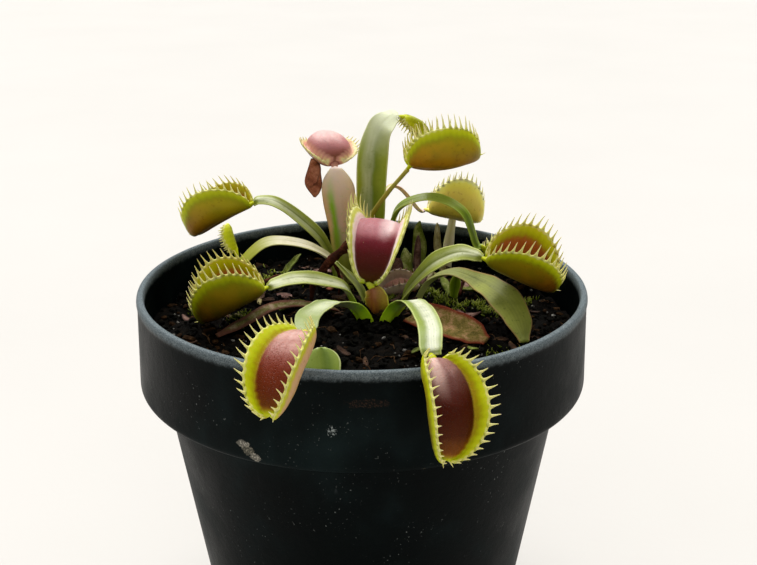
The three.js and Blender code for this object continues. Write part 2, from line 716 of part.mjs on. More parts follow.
// Potting mix: a plug that fills the pot up to its bumpy top.
function soilSolid() {
  const points = [];
  const index = [];
  const ring = (radius, height) => {
    const row = [];
    for (let i = 0; i < SOIL_SIDES; i++) {
      const a = (2 * Math.PI * i) / SOIL_SIDES;
      const x = radius * Math.cos(a);
      const y = radius * Math.sin(a);
      row.push(points.length);
      points.push(new THREE.Vector3(x, y, height(x, y)));
    }
    return row;
  };
  const surface = (x, y) => POT_HEIGHT + soilHeight(x, y);
  const edge = BAND_INNER_RADIUS - SOIL_SIDE_GAP;
  points.push(new THREE.Vector3(0, 0, surface(0, 0)));
  const rows = [];
  for (let k = 1; k <= SOIL_RINGS; k++) rows.push(ring((edge * k) / SOIL_RINGS, surface));
  rows.push(ring(edge, () => BAND_FOOT + SOIL_SHOULDER[0]));
  rows.push(ring(WALL_INNER_RADIUS - SOIL_SIDE_GAP, () => BAND_FOOT + SOIL_SHOULDER[1]));
  rows.push(ring(FLOOR_RADIUS - SOIL_SIDE_GAP, () => FLOOR_THICKNESS + GAP));
  const foot = points.length;
  points.push(new THREE.Vector3(0, 0, FLOOR_THICKNESS + GAP));
  for (let i = 0; i < SOIL_SIDES; i++) {
    const n = (i + 1) % SOIL_SIDES;
    index.push(0, rows[0][i], rows[0][n]);
    for (let k = 0; k < rows.length - 1; k++) {
      const [a, b, c, d] = [rows[k][i], rows[k + 1][i], rows[k + 1][n], rows[k][n]];
      index.push(a, b, c, a, c, d);
    }
    index.push(foot, rows[rows.length - 1][n], rows[rows.length - 1][i]);
  }
  return meshSolid(points, index);
}

addNode("pot", potSolid(), BLACK_PLASTIC, 0.6);

let soil = soilSolid();
const raised = (point) => vec(point).setZ(point[2] + POT_HEIGHT);
LEAVES.forEach((leaf, i) => {
  addNode("stalk_" + leaf.name, stalkSolid(leaf, 0), leaf.color, 0.5);
  soil = soil.subtract(stalkSolid(leaf, GAP));
  if (!leaf.trap) return;
  const trap = trapSolid(leaf.trap, raised(leaf.trap.joint), FIRST_SEED + SEED_STEP * i);
  addNode("trap_" + leaf.name, trap, leaf.trap.color ?? TRAP_GREEN, 0.5);
});
addNode("trap_withered", trapSolid(WITHERED, raised(WITHERED.joint), WITHERED_SEED), DEAD_PINK, 0.8);
addNode("soil", soil, SOIL_BLACK, 0.95);

export default rootGroup;
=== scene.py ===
import math
import random

import bpy
import numpy as np
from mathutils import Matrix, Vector, noise


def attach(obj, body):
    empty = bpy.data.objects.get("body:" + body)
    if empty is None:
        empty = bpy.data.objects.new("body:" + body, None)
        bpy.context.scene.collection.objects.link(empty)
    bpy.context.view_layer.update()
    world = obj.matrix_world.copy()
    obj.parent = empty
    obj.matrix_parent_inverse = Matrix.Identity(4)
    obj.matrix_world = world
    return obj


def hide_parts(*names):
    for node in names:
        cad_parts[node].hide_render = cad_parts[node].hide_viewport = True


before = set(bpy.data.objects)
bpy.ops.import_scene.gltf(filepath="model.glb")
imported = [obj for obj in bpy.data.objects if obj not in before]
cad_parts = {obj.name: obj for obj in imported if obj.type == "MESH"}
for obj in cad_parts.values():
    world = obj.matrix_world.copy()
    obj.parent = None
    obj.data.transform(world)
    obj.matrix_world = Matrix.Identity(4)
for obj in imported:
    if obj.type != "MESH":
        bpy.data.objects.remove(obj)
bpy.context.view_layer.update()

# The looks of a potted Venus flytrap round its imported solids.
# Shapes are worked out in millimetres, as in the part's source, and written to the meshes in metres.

MM = 0.001
FULL_TURN = 2 * math.pi

# Pot and potting mix
POT_HEIGHT = 110.0
POT_SIDES = 288
RIM_INNER_RADIUS = 57.6
BAND_OUTER_RADIUS = 60.0
LIP_OUTER_RADIUS = 59.7
BAND_FOOT = 85.0
BAND_INNER_RADIUS = 57.0
WALL_UNDER_BAND_RADIUS = 53.6
WALL_INNER_RADIUS = 51.8
BASE_RADIUS = 39.8
FLOOR_RADIUS = 38.3
FLOOR_THICKNESS = 2.5
SOIL_RINGS = 84
SOIL_SIDES = 200
SOIL_EDGE = BAND_INNER_RADIUS - 0.35
SOIL_SIDE_GAP = 0.55
SOIL_DEPTH = 10.5
SOIL_EDGE_DROP = 1.2
SOIL_BUMP = 0.8
CALM_RADIUS = 16.0
CALM_WIDTH = 14.0
CALM_SHARE = 0.45
STREWN_REACH = BAND_INNER_RADIUS - 1.4

# Stalks
HOLE_DEPTH = 5.0
EDGE_THICKNESS = 0.7 * 0.45
MIDRIB_THICKNESS = [2, 1.5, 1.2, 1.2, 1.4]
FOLD = 0.2
STALK_ROWS = 72
STALK_COLUMNS = 21
FLUTTER = 0.14
GROOVE = 0.16
STALK_ROUNDING = 0.15
BLUNT_END = 0.7
GAP = 0.3
STALK_END_STRAIGHT = 2.0

# Traps
LOBE_HALF_COLUMNS = 20
LOBE_THICKNESS = 0.24
LOBE_THICKENING = 0.21
LOBE_KEEL = 0.35
LOBE_ROUNDING = 0.2
LOBE_RELIEF = ((0.16, 9.0), (0.05, 4.0))
CUSHION = 1.0
CUSHION_SHARE = 0.85
BELLY_ROUNDING = 0.5
BELLY_END_ROUNDING = 0.6
END_SHARE = 0.03
END_REACH = 0.07
END_ROUNDING = 0.9
JOINT_FLARE = 0.1
TIP_FLARE = 0.05
BEND_FROM = 0.15
BEND_TO = 0.6
FLOOR_LEAN = 108.0
NECK_LENGTH = 1.8
NECK_REACH = (-2.5, -1.3, -0.5, 0.6, 2.0, 3.6)
NECK_RADII = (0.6, 0.8, 0.95, 1.0, 0.8, 0.1)
NECK_SIDES = 12
MARGIN_DIP = 0.32
ROWS_PER_SPINE = 5
SPINE_LENGTH = 3.4
SPINE_RINGS = 9
SPINE_SIDES = 7
TRIGGER_HAIRS = ((0.36, 0.42), (0.64, 0.42), (0.5, 0.56))
HAIR_LENGTH = 1.7
HAIR_RINGS = 5
HAIR_SIDES = 5

TRAP_COLUMNS = ("joint", "aim", "open", "length", "width", "gape", "arch", "spines", "look", "flush")


def snap(*row, **rest):
    """A trap's row in the table: its columns in order, and what else it has."""
    return dict(zip(TRAP_COLUMNS, row), **rest)


# Each leaf's look, its path over the rim plane, its widths along it, and how far it folds and twists.
# Aims, openings and necks are azimuth and elevation. Gape is each margin's lean off the opening way.
LEAVES = [
    dict(name="front_right", look="arched",
         path="6.8 -3.6 -10, 9.4 -7 -4.4, 12.4 -18 1.2, 14.6 -34 5, 15.9 -49 6.6",
         width=[3.8, 4.4, 5.2, 5.6, 5.4, 5, 4], fold=0.25, twist=[0, 0, 5],
         trap=snap((16.4, -58.7, 1.8), (-78.4, -55), (-64.3, 10), 21.2, 10.7, (14, 34), 0.17, 18, "red",
                   (0.2, 0.3), neck=(-80, -42), heel=0.38, spine=3, slant=-0.2, belly=(0.62, 0.9))),
    dict(name="front_left", look="shaded",
         path="0.8 -3.8 -10, -2.4 -7.6 -4, -7.2 -19 1.2, -9.8 -34 5.6, -11.6 -47 8.4",
         width=[3.8, 4.4, 5.2, 5.8, 5.6, 5, 3.4], fold=0.25, twist=[0, 0, -5],
         trap=snap((-12.2, -56.2, 7), (-108.3, -27.6), (-103.6, 17.6), 22, 9.6, (46, -6), 0.17, 17, "peach",
                   (0.4, 0.2), neck=(-95, -15), heel=0.25, toe=0.15, spine=3, belly=(0.62, 0.9))),
    dict(name="centre", look="barrel", path="4 4.5 -10, 3.9 -0.2 -7", width=[5, 6.4, 6.4, 4.2],
         middle=[3, 3, 2.6, 1.6], fold=0.3,
         trap=snap((1.9, 1.4, -0.5), (80.4, 15.6), (-88.6, 58.4), 23.4, 11.7, (23, 23.5), 0.36, 18, "rose",
                   (0.1, 0.1), neck=(130, 55), heel=0.29, toe=0.19, spine=4.4, slant=0.45,
                   belly=(0.62, 1))),
    dict(name="left", look="fresh", path="-2 7.5 -10, -4.5 8.5 -5, -9.5 7.6 -2.6, -15 4 -0.4, -19 0.6 0.6",
         width=[4, 4.2, 4.8, 5, 4.4, 3.4, 2], fold=0.3, twist=[0, -30, -30],
         trap=snap((-26.9, -4.5, -0.9), (185.5, -26), (-90, 94), 17.4, 18.5, (-7, 9.5), 0.05, 17, "brown",
                   (0.3, 0.7), spine=3.3)),
    dict(name="right", look="fresh", path="10.5 6.5 -10, 12 5 -4.5, 17.3 2 3.2, 21.8 0 6.9, 26 -2.4 9",
         width=[4, 4.6, 5.6, 5.8, 5, 3.4, 2], fold=0.3, twist=[0, 45, 45],
         trap=snap((33.5, -4.6, 7.4), (-1.5, -23.5), (-90, 91), 18, 18.8, (29, -3), 0.05, 17, "brown",
                   (0.1, 1), spine=3.8)),
    dict(name="back_tall", look="golden", path="5.2 29.5 -10, 3 29.3 0, 2.6 28.6 10, 7 27.2 17.6",
         width=[3.2, 3, 2.8, 2.6, 2.4],
         trap=snap((13.8, 25.6, 26.2), (11.3, 2.9), (94.5, 72), 18.6, 16.6, (1, -3.5), -0.06, 18, "golden",
                   (1, 0.2), neck=(-14, 50), heel=0.12, toe=0.12, spine=4.2)),
    dict(name="back_broad", look="striped",
         path="1.8 36 -10, 2 35 0, 2.1 33.5 12, 2.7 32 26, 4.7 33.4 34.6",
         width=[4, 5, 7, 8.2, 8.6, 7.6, 5, 1.6], fold=0.2, twist=[85, 84, 76, 50, 15],
         trap=snap((12.4, 38, 36.9), (27, -40), (205, -42), 9, 5.6, (2, 2), -0.12, 12, "green", (0, 0),
                   neck=(15, -8), heel=0.2, spine=1.8)),
    dict(name="back_left", look="beige", path="-5.4 33.5 -10, -6 32.4 2, -7 29.6 14",
         width=[3.6, 5, 7.6, 9.2, 9.8, 9.8], fold=-0.4, across=180, rounded=(10.5, 0.9),
         trap=snap((-8.4, 30, 25.4), (112, 14), (-80, 68), 12, 9.4, (62, 36), 0, 13, "pink", (0.2, 0.2),
                   neck=(100, 25), heel=0.3, toe=0.2, spine=1.6, belly=(0.8, 4.6))),
    dict(name="far_left", look="fresh",
         path="-7.5 28 -10, -9 27 -3, -12.5 25.5 4.5, -19.5 24 11.8, -25 23 15.8",
         width=[3.6, 4, 4.6, 4.8, 4, 3, 2], fold=0.3, twist=[0, -35, -35],
         trap=snap((-32.7, 24, 14.3), (163.5, -30.5), (90, 83), 18.9, 15.2, (-12, 9), 0.05, 16, "golden",
                   (0.1, 0.8), spine=3)),
    dict(name="mid_left", look="cream",
         path="-4 25 -10, -6.5 21 -3, -13 16 4, -21 12.5 7.4, -27.4 10.8 7.2",
         width=[3.4, 3.6, 3.8, 3.8, 3.4, 2.8, 2], fold=0.3, twist=[0, -25, -25],
         trap=snap((-35, 9.6, 6), (125, 60), (180, 10), 7, 4.4, (-2, -2), 0, 9, "green", (0.1, 0.1),
                   spine=1.2, belly=(0.8, 0.2))),
    dict(name="mid_right", look="bright",
         path="8 34 -10, 7.6 33 2, 9.5 29.5 11.5, 15.5 25 16.2, 21.6 22.5 16.9, 28.5 21.4 13",
         width=[3.4, 3.6, 3.8, 3.6, 3.2, 2.8, 2.4, 2], fold=0.3, twist=[0, 25, 25],
         trap=snap((35.5, 22, 1.6), (-4, -32), (80, 40), 15, 8.5, (14, 14), 0.04, 14, "green", (0.4, 0.2))),
    dict(name="back_right", look="beige", path="-0.9 40 -10, 1.6 43 5, 9 46.4 14.4",
         width=[3.4, 3.6, 3.4, 2.8, 2],
         trap=snap((20.5, 47, 6.2), (0, -12), (86, 70), 14.5, 18.5, (14, 0), 0.04, 15, "pale", (0, 0),
                   spine=2.4)),
    dict(name="young_left", look="fresh", path="0.5 11 -10, -1.5 11.8 -5, -7.5 13 1.2",
         width=[2.4, 3, 3.2, 2.4, 0.9], fold=0.3, twist=[0, -30]),
    dict(name="drooping", look="olive",
         path="16 16 -10, 19.4 15.6 -4.4, 25.4 11 -1, 31.6 2.6 -0.8, 36.6 -6 -1.6, 40 -13.5 -4.8, "
              "41.6 -19.5 -9.4", width=[2.6, 2.8, 2.8, 2.8, 3.6, 6.6, 8.6, 7.4, 2.8], fold=0.25,
         twist=[0, 20, 34, 20, 10]),
    dict(name="old_left", look="pod",
         path="-7 4.5 -10, -13 0.8 -7.2, -19 -0.6 -6.2, -25 -2 -6.8, -31 -7.5 -8.5, -37.5 -14 -9.8",
         width=[2.6, 3, 4, 4.2, 3.4, 3.4, 3.4, 3, 1.4], fold=0.3, twist=[0, -20]),
    dict(name="dead_right", look="husk",
         path="12.8 -0.8 -10, 14.8 -4.8 -7.8, 21 -11 -7.8, 27 -14.5 -8.2, 32 -18 -9.6",
         width=[3, 4, 6.6, 8.6, 9.4, 9.2, 7.4, 3], fold=0.5, twist=[0, 25, 25]),
    dict(name="seedling", look="disc", path="-9 -42 -11.2, -9 -41 -8, -9.4 -37.4 -3.4",
         width=[2, 4, 6.8, 8.2, 8.6, 8.8], fold=0.2, across=180, rounded=(4.4, 0.5)),
    dict(name="old_back", look="stub", path="25 42 -10, 25.6 42.6 -3, 26.6 43.4 4.5",
         width=[2.6, 2.8, 3, 2], fold=0.3, across=180),
    dict(name="young_right", look="bright", path="25.6 15.4 -10, 25.9 15 -6, 26.5 14.6 -2.4",
         width=[1.6, 2, 3, 1.2], fold=0.3, across=180),
]
WITHERED = snap((5.5, 19, -9.5), (12, 6), (-70, 62), 10, 7, (-4, -8), 0.1, 10, "withered", (0, 0),
                spine=1.6)


# Vectors

def unit(v):
    v = np.asarray(v, float)
    return v / np.maximum(np.linalg.norm(v, axis=-1, keepdims=True), 1e-9)


def heading(azimuth, elevation):
    a, e = math.radians(azimuth), math.radians(elevation)
    return np.array([math.cos(a) * math.cos(e), math.sin(a) * math.cos(e), math.sin(e)])


def polar(radius, angle):
    return radius * math.cos(angle), radius * math.sin(angle)


def square_to(tangents, way):
    """A direction turned square to each tangent."""
    return unit(way - tangents * (tangents @ way)[:, None])


def smooth(value, low, high):
    t = np.clip((np.asarray(value, float) - low) / (high - low), 0, 1)
    return t * t * (3 - 2 * t)


def along(values, t):
    """The value at t from 0 to 1, eased between evenly spaced entries."""
    values = np.asarray(values, float)
    at = np.asarray(t, float) * (len(values) - 1)
    i = np.clip(np.floor(at).astype(int), 0, len(values) - 2)
    return values[i] + (values[i + 1] - values[i]) * smooth(at - i, 0, 1)


def curve(points, t):
    """Points of an even Catmull-Rom curve through the given points."""
    p = np.asarray(points, float)
    p = np.vstack([2 * p[0] - p[1], p, 2 * p[-1] - p[-2]])
    at = np.asarray(t, float) * (len(p) - 3)
    i = np.clip(np.floor(at).astype(int), 0, len(p) - 4)
    w = (at - i)[:, None]
    a, b, c, d = p[i], p[i + 1], p[i + 2], p[i + 3]
    m, n = (c - a) / 2, (d - b) / 2
    return b + m * w + (3 * (c - b) - 2 * m - n) * w**2 + (2 * (b - c) + m + n) * w**3


def ripples(points, seed, size):
    """A smooth seeded relief of about -1 to 1 over points, with waves about `size` long."""
    draw = np.random.default_rng(seed)
    out = np.zeros(points.shape[:-1])
    for _ in range(6):
        way = unit(draw.normal(size=3)) * (FULL_TURN / size) * draw.uniform(0.6, 1.5)
        out += np.sin(points @ way + draw.uniform(0, 6.28))
    return out / 3.5


def grid_normal(grid):
    return unit(np.cross(np.gradient(grid, axis=0), np.gradient(grid, axis=1)))


def facing_up(grid):
    """How far a grid of points faces up, from 0 (upright) to 1 (level)."""
    return np.abs(grid_normal(grid)[..., 2])


# Meshes

def make(name, points, faces, materials, kinds=None, values=None, smooth_shade=True):
    """A mesh object in metres from points in millimetres."""
    mesh = bpy.data.meshes.new(name)
    mesh.from_pydata((np.asarray(points, float) * MM).tolist(), [], [list(f) for f in faces])
    for material in materials:
        mesh.materials.append(material)
    if kinds is not None:
        mesh.polygons.foreach_set("material_index", np.asarray(kinds, np.int32))
    for key, column in (values or {}).items():
        layer = mesh.attributes.new(key, "FLOAT", "POINT")
        layer.data.foreach_set("value", np.asarray(column, np.float32))
    mesh.polygons.foreach_set("use_smooth", [smooth_shade] * len(mesh.polygons))
    mesh.update()
    obj = bpy.data.objects.new(name, mesh)
    bpy.context.scene.collection.objects.link(obj)
    return obj


def place(obj, slot_name, *nodes):
    """Attaches a piece to the root body and hides the solids that it stands for. Its slot name is not used.
    """
    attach(obj, "root")
    if nodes:
        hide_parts(*nodes)


class Skin:
    """Points and faces gathered for one piece, each point with its values and each face with its kind."""

    def __init__(self, *keys):
        self.points, self.faces, self.kinds = [], [], []
        self.values = {key: [] for key in keys}
        self.count = 0

    def add(self, points, faces, kinds=0, **values):
        self.faces += [[int(i) + self.count for i in face] for face in faces]
        self.kinds += np.broadcast_to(kinds, (len(faces),)).tolist()
        self.points.append(np.asarray(points, float))
        for key, column in self.values.items():
            column.append(np.broadcast_to(np.asarray(values.get(key, 0), float), (len(points),)))
        self.count += len(points)

    def object(self, name, materials, smooth_shade=True):
        values = {key: np.concatenate(column) for key, column in self.values.items()}
        points = np.concatenate(self.points)
        return make(name, points, self.faces, materials, self.kinds, values, smooth_shade)


def shell(middle, normal, upper, bottom, bulge):
    """Points, faces, kinds (0 top, 1 under) and grid indices of a closed skin round a grid of points."""
    size = middle.shape[0] * middle.shape[1]
    index = np.arange(size).reshape(middle.shape[:2])
    ring = np.concatenate([index[0, :-1], index[:-1, -1], index[-1, :0:-1], index[:0:-1, 0]])
    away = np.zeros_like(middle)
    away[0] += middle[0] - middle[1]
    away[-1] += middle[-1] - middle[-2]
    away[:, 0] += unit(middle[:, 0] - middle[:, 1])
    away[:, -1] += unit(middle[:, -1] - middle[:, -2])
    under = middle - normal * bottom[..., None]
    edge = (upper + under) / 2 + unit(away) * bulge
    points = np.concatenate([upper.reshape(-1, 3), under.reshape(-1, 3), edge.reshape(-1, 3)[ring]])
    a, b, c, d = index[:-1, :-1], index[:-1, 1:], index[1:, 1:], index[1:, :-1]
    top = np.stack([a, d, c, b], -1).reshape(-1, 4)
    low = np.stack([a, b, c, d], -1).reshape(-1, 4) + size
    after = np.roll(ring, -1)
    rim = 2 * size + np.arange(len(ring))
    rim_after = np.roll(rim, -1)
    side_up = np.stack([ring, after, rim_after, rim], -1)
    side_low = np.stack([rim, rim_after, size + after, size + ring], -1)
    kinds = [0] * (len(top) + len(ring)) + [1] * (len(low) + len(ring))
    faces = np.concatenate([top, side_up, low, side_low])
    return points, faces, kinds, np.concatenate([np.tile(index.ravel(), 2), ring])


def closed(start, rings, end, downward=False):
    """Points and faces of a closed shell of rings between two end points. The rings may run downward."""
    sides = len(rings[0])
    points = np.concatenate([[start], *rings, [end]])
    last = len(points) - 1
    faces = []
    for i in range(sides):
        n = (i + 1) % sides
        faces.append((0, 1 + n, 1 + i))
        for a in range(1, last - sides, sides):
            faces.append((a + i, a + n, a + sides + n, a + sides + i))
        faces.append((last - sides + i, last - sides + n, last))
    if downward:
        faces = [face[:1] + face[:0:-1] for face in faces]
    return points, faces


def bar(centres, side, up, wide, deep, sides):
    """A tapered bar of elliptical rings with a closed root and a pointed end."""
    turn = FULL_TURN * np.arange(sides) / sides
    rings = [
        c + np.outer(np.cos(turn) * w, s) + np.outer(np.sin(turn) * h, u)
        for c, s, u, w, h in zip(centres[:-1], side, up, wide, deep)
    ]
    return closed(centres[0], rings, centres[-1])


def per_point(ring_values, sides, tip):
    """The values of a bar's points from one value per ring, with 0 at the root and `tip` at the end."""
    return np.concatenate([[0], np.repeat(ring_values, sides), [tip]])


# Materials

LEAF_RADIUS = (1.0, 1.1, 0.3)
RED_RADIUS = (1.4, 0.35, 0.25)
MIX_A, MIX_B, MIX_RESULT = 6, 7, 2


def linear(code):
    """A linear colour from a hexadecimal one."""
    parts = [int(code[i:i + 2], 16) / 255 for i in (0, 2, 4)]
    return tuple(c / 12.92 if c <= 0.04045 else ((c + 0.055) / 1.055) ** 2.4 for c in parts) + (1,)


class Value:
    """What a node of a graph gives. Sums, differences and products of values are nodes too."""

    def __init__(self, graph, socket):
        self.graph, self.socket = graph, socket

    def __add__(self, other):
        return self.graph.math("ADD", self, other)

    def __sub__(self, other):
        return self.graph.math("SUBTRACT", self, other)

    def __rsub__(self, other):
        return self.graph.math("SUBTRACT", other, self)

    def __mul__(self, other):
        return self.graph.math("MULTIPLY", self, other)

    def __abs__(self):
        return self.graph.math("ABSOLUTE", self)

    def ease(self, low, high, out_low=0, out_high=1):
        """The first output up to `low` and the second from `high` on, with a smooth step between them."""
        inlets = {"Value": self, "From Min": low, "From Max": high, "To Min": out_low, "To Max": out_high}
        return self.graph.node("MapRange", "Result", inlets, interpolation_type="SMOOTHSTEP")


class Graph:
    """A material's node tree, built by short calls that return values."""

    def __init__(self, name, specular, subsurface=0.0, radius=LEAF_RADIUS):
        self.material = bpy.data.materials.new(name)
        self.material.use_nodes = True
        self.tree = self.material.node_tree
        self.inputs = self.tree.nodes["Principled BSDF"].inputs
        self.inputs["Specular IOR Level"].default_value = specular
        self.inputs["Subsurface Weight"].default_value = subsurface
        self.inputs["Subsurface Radius"].default_value = radius
        self.inputs["Subsurface Scale"].default_value = MM
        self.where = self.node("TexCoord", "Object", {})

    def node(self, kind, outlet, inlets, **settings):
        made = self.tree.nodes.new("ShaderNode" + kind)
        for key, value in settings.items():
            setattr(made, key, value)
        for key, value in inlets.items():
            self.put(made.inputs[key], value)
        return Value(self, made.outputs[outlet])

    def put(self, socket, value):
        if isinstance(value, Value):
            self.tree.links.new(value.socket, socket)
        else:
            socket.default_value = value

    def values(self, keys):
        return [self.node("Attribute", "Fac", {}, attribute_name=key) for key in keys.split()]

    def noise(self, scale, detail=3, rough=0.55, stretch=None, warp=0):
        at = self.where
        if stretch:
            at = self.node("Mapping", "Vector", {"Vector": at, "Scale": stretch})
        inlets = {"Vector": at, "Scale": scale, "Detail": detail, "Roughness": rough, "Distortion": warp}
        return self.node("TexNoise", "Fac", inlets)

    def cells(self, scale):
        return self.node("TexVoronoi", "Distance", {"Vector": self.where, "Scale": scale})

    def spot(self, centre, spread):
        """1 at a place, falling to 0 at an uneven rim `spread` away on each axis, in millimetres."""
        centre, spread = ([part * MM for part in parts] for parts in (centre, spread))
        inlets = {"Vector": self.where, "Location": centre, "Scale": spread}
        at = self.node("Mapping", "Vector", inlets, vector_type="TEXTURE")
        away = self.node("VectorMath", "Value", {0: at}, operation="LENGTH")
        return (away + (self.noise(700, 4, 0.7) - 0.5) * 2.2).ease(1.05, 0.8)

    def math(self, operation, a, b=0.0):
        return self.node("Math", 0, {0: a, 1: b}, operation=operation)

    def waves(self, phase):
        return self.math("SINE", phase).ease(-1, 1)

    def mix(self, share, a, b, blend="MIX"):
        a, b = (linear(colour) if isinstance(colour, str) else colour for colour in (a, b))
        inlets = {0: share, MIX_A: a, MIX_B: b}
        return self.node("Mix", MIX_RESULT, inlets, data_type="RGBA", blend_type=blend)

    def ramp(self, value, stops):
        """Colours by a value, from stops such as "0 34300A, 1 585208"."""
        colours = self.node("ValToRGB", "Color", {"Fac": value})
        elements = colours.socket.node.color_ramp.elements
        stops = [stop.split() for stop in stops.split(",")]
        while len(elements) < len(stops):
            elements.new(0.5)
        for element, (position, code) in zip(elements, stops):
            element.position = float(position)
            element.color = linear(code)
        return colours

    def finish(self, colour, roughness, height, depth):
        bump = self.node("Bump", "Normal", {"Distance": depth * MM, "Strength": 1.0, "Height": height})
        for key, value in (("Base Color", colour), ("Roughness", roughness), ("Normal", bump)):
            self.put(self.inputs[key], value)
        return self.material


LIME_IN = "0 DEDA7C, 0.05 C6CC20, 0.35 B8BE06, 0.7 A69E0A, 1 9A6A10"
LIME_OUT = "0 E0DC80, 0.05 C8CC22, 0.3 BEC40A, 0.7 A6AC0A, 1 92900A"
# RED to WARM are ramped by a trap's height: partly the trap's own colour, partly painted light, lighter
# towards the top and darker towards the bottom.
RED = "0.02 745808, 0.14 6E3C0A, 0.36 62260A, 0.62 6C2610, 0.8 8E4A3C, 0.95 CC9E92"
DARK_RED = "0.02 A8741A, 0.12 80480E, 0.3 502006, 0.55 421204, 0.78 52180C, 0.95 8C5046"
CRIMSON = "0.03 4A3608, 0.1 4A280A, 0.24 481808, 0.42 541410, 0.58 6C1A26, 0.7 A04A56"
BROWN = "0 3A1E06, 0.35 7A3C10, 0.65 A8581E, 0.9 BC7830"
PINK = "0 5A4418, 0.25 70482C, 0.46 9C5C54, 0.65 B87878, 0.85 C48A86, 1 D8A29E"
COOL = "0 34300A, 0.28 585208, 0.6 827E0A, 1 A8A60E"
WARM = "0 5E3A08, 0.3 8E5206, 0.65 B07C0A, 1 C4A814"
OLIVE_BLUSH = "0 B0B20C, 0.4 A08A12, 1 8A5A18"


def inside_material(name, body, margin=LIME_IN, blush=OLIVE_BLUSH, painted_sheen="E8C6BE", glands=0.5, top=0.98,
                    fade=0.3, painted_glint=None, width=1.0):
    """The face of a trap that looks into its mouth: a margin, and a body crowded with small glands."""
    g = Graph(name, specular=0.09, subsurface=0.12, radius=RED_RADIUS)
    rim, run, up, side, lit, face = g.values("rim run up side lit face")
    broad, fine = g.noise(260), g.noise(1900, 3, 0.65)
    wander = (broad - 0.5) * 1.6
    inward = (rim + wander + (fine - 0.5) * 0.7) * (1 / width)
    edge = g.ramp(inward.ease(0, 3.8), margin)
    # The body is ramped by height: partly the trap's own colour, partly painted light, with a paler painted
    # highlight at the top and painted shade darker towards the bottom.
    level = up + wander * 0.09
    flesh = g.ramp(level, body)
    dots = g.cells(2600).ease(0.05, 0.45)
    dotted = g.mix(level.ease(0.45, 0.75) * glands, "FFFFFF", "C9808A")
    flesh = g.mix(dots, g.mix(1.0, flesh, dotted, "MULTIPLY"), flesh)
    # Faint creases run lengthwise, and the upward faces get a painted pale sheen highlight, brightest along a
    # painted glint.
    creases = g.waves(side * 21 + broad * 7)
    shine = lit.ease(0.4, 0.95) * level.ease(top - fade, top) * (creases * 0.12 + 0.68)
    if painted_glint:
        beside = abs(side - painted_glint[0]) + wander * 0.1
        shine = shine * beside.ease(painted_glint[1], 0, 0.25, 1.15)
    flesh = g.mix(shine, flesh, painted_sheen)
    amount = inward.ease(2.3, 4) * (1 - run.ease(0.84, 0.98) * 0.6)
    colour = g.mix(amount, edge, g.mix(face, flesh, g.ramp(inward.ease(1, 7), blush)))
    height = dots * amount + fine * 0.7 + creases * 0.4
    return g.finish(colour, broad.ease(0.3, 0.7, 0.3, 0.44), height, 0.09)


def outside_material(name, margin=LIME_OUT, cool=COOL, warm=WARM, width=1.0, glow=0.15):
    """The outer face of a trap: a bright margin, and below it one colour that flushes into another."""
    g = Graph(name, specular=0.14, subsurface=glow)
    rim, run, up, flush = g.values("rim run up flush")
    broad, fine = g.noise(220), g.noise(1500, 3, 0.6)
    wander = (broad - 0.5) * 1.5
    inward = (rim + wander) * (1 / width)
    ribs = g.waves(run * 150 + broad * 8)
    # The body is ramped by height: partly the lobe's own colour, partly painted shade, darker towards the
    # bottom.
    level = up + wander * 0.14
    body = g.mix(flush * broad.ease(0.15, 0.65), g.ramp(level, cool), g.ramp(level, warm))
    colour = g.mix(inward.ease(1.6, 4.4), g.ramp(inward.ease(0, 3.4), margin), body)
    speckle = g.noise(900, 2, 0.5).ease(0.6, 0.72, 0, 0.3)
    colour = g.mix(speckle, colour, g.mix(1.0, colour, "B08A50", "MULTIPLY"))
    return g.finish(colour, fine.ease(0.3, 0.7, 0.38, 0.52), ribs * 0.14 + fine, 0.05)


def spine_material(name, root="C6CA36", tip="E2DA92", end="DDB694"):
    g = Graph(name, specular=0.2, subsurface=0.25)
    grain = g.noise(1800, 2)
    share = g.values("tip")[0] + (grain - 0.5) * 0.25
    colour = g.ramp(share, f"0 {root}, 0.25 {tip}, 0.8 {tip}, 1 {end}")
    return g.finish(colour, grain.ease(0.3, 0.7, 0.4, 0.55), grain, 0.03)


def stalk_material(name, root, crease, blade, rim, painted_highlight, roughness=0.36, streak=(0.0, 0.8), far=None,
                   root_end=0.4, highlight_band=(0.0, 3.0, 0.0), glow=0.12):
    """A leafy stalk: a darker crease along its midrib, a paler edge, fine veins and a painted pale sheen
    highlight on top.
    """
    g = Graph(name, specular=0.3, subsurface=glow)
    across, run, edge, lit = g.values("across run edge lit")
    broad, fine = g.noise(170), g.noise(2300, 3, 0.65)
    uneven = broad - 0.5
    away = abs(across - streak[0]) + uneven * (0.9 * streak[1])
    colour = g.mix(away.ease(0, streak[1]), crease, blade)
    lines = g.waves(across * 26 + broad * 6)
    # A painted pale sheen highlight on the upward faces, in a band across the blade.
    beside = abs(across - highlight_band[0]) + uneven * 0.5
    highlight_mask = g.math("MAXIMUM", lit.ease(0.35, 0.9), highlight_band[2]) * beside.ease(highlight_band[1], 0.3 * highlight_band[1])
    highlight_mask = highlight_mask * broad.ease(0.2, 0.6, 0.45, 0.95) * (lines * 0.12 + 0.85)
    colour = g.mix(highlight_mask, colour, painted_highlight)
    colour = g.mix(g.noise(1300, 2, 0.4).ease(0.62, 0.72) * 0.35, colour, crease)
    colour = g.mix(edge.ease(0.32, 0.08, 0, 0.7), colour, rim)
    drift = run + broad * 0.12
    if far:
        colour = g.mix(drift.ease(0.62, 0.85), colour, far)
    colour = g.mix(drift.ease(root_end, root_end - 0.24), colour, root)
    shine = fine.ease(0.25, 0.75, roughness - 0.05, roughness + 0.1)
    return g.finish(colour, shine, lines * 0.12 + fine * 0.8, 0.06)


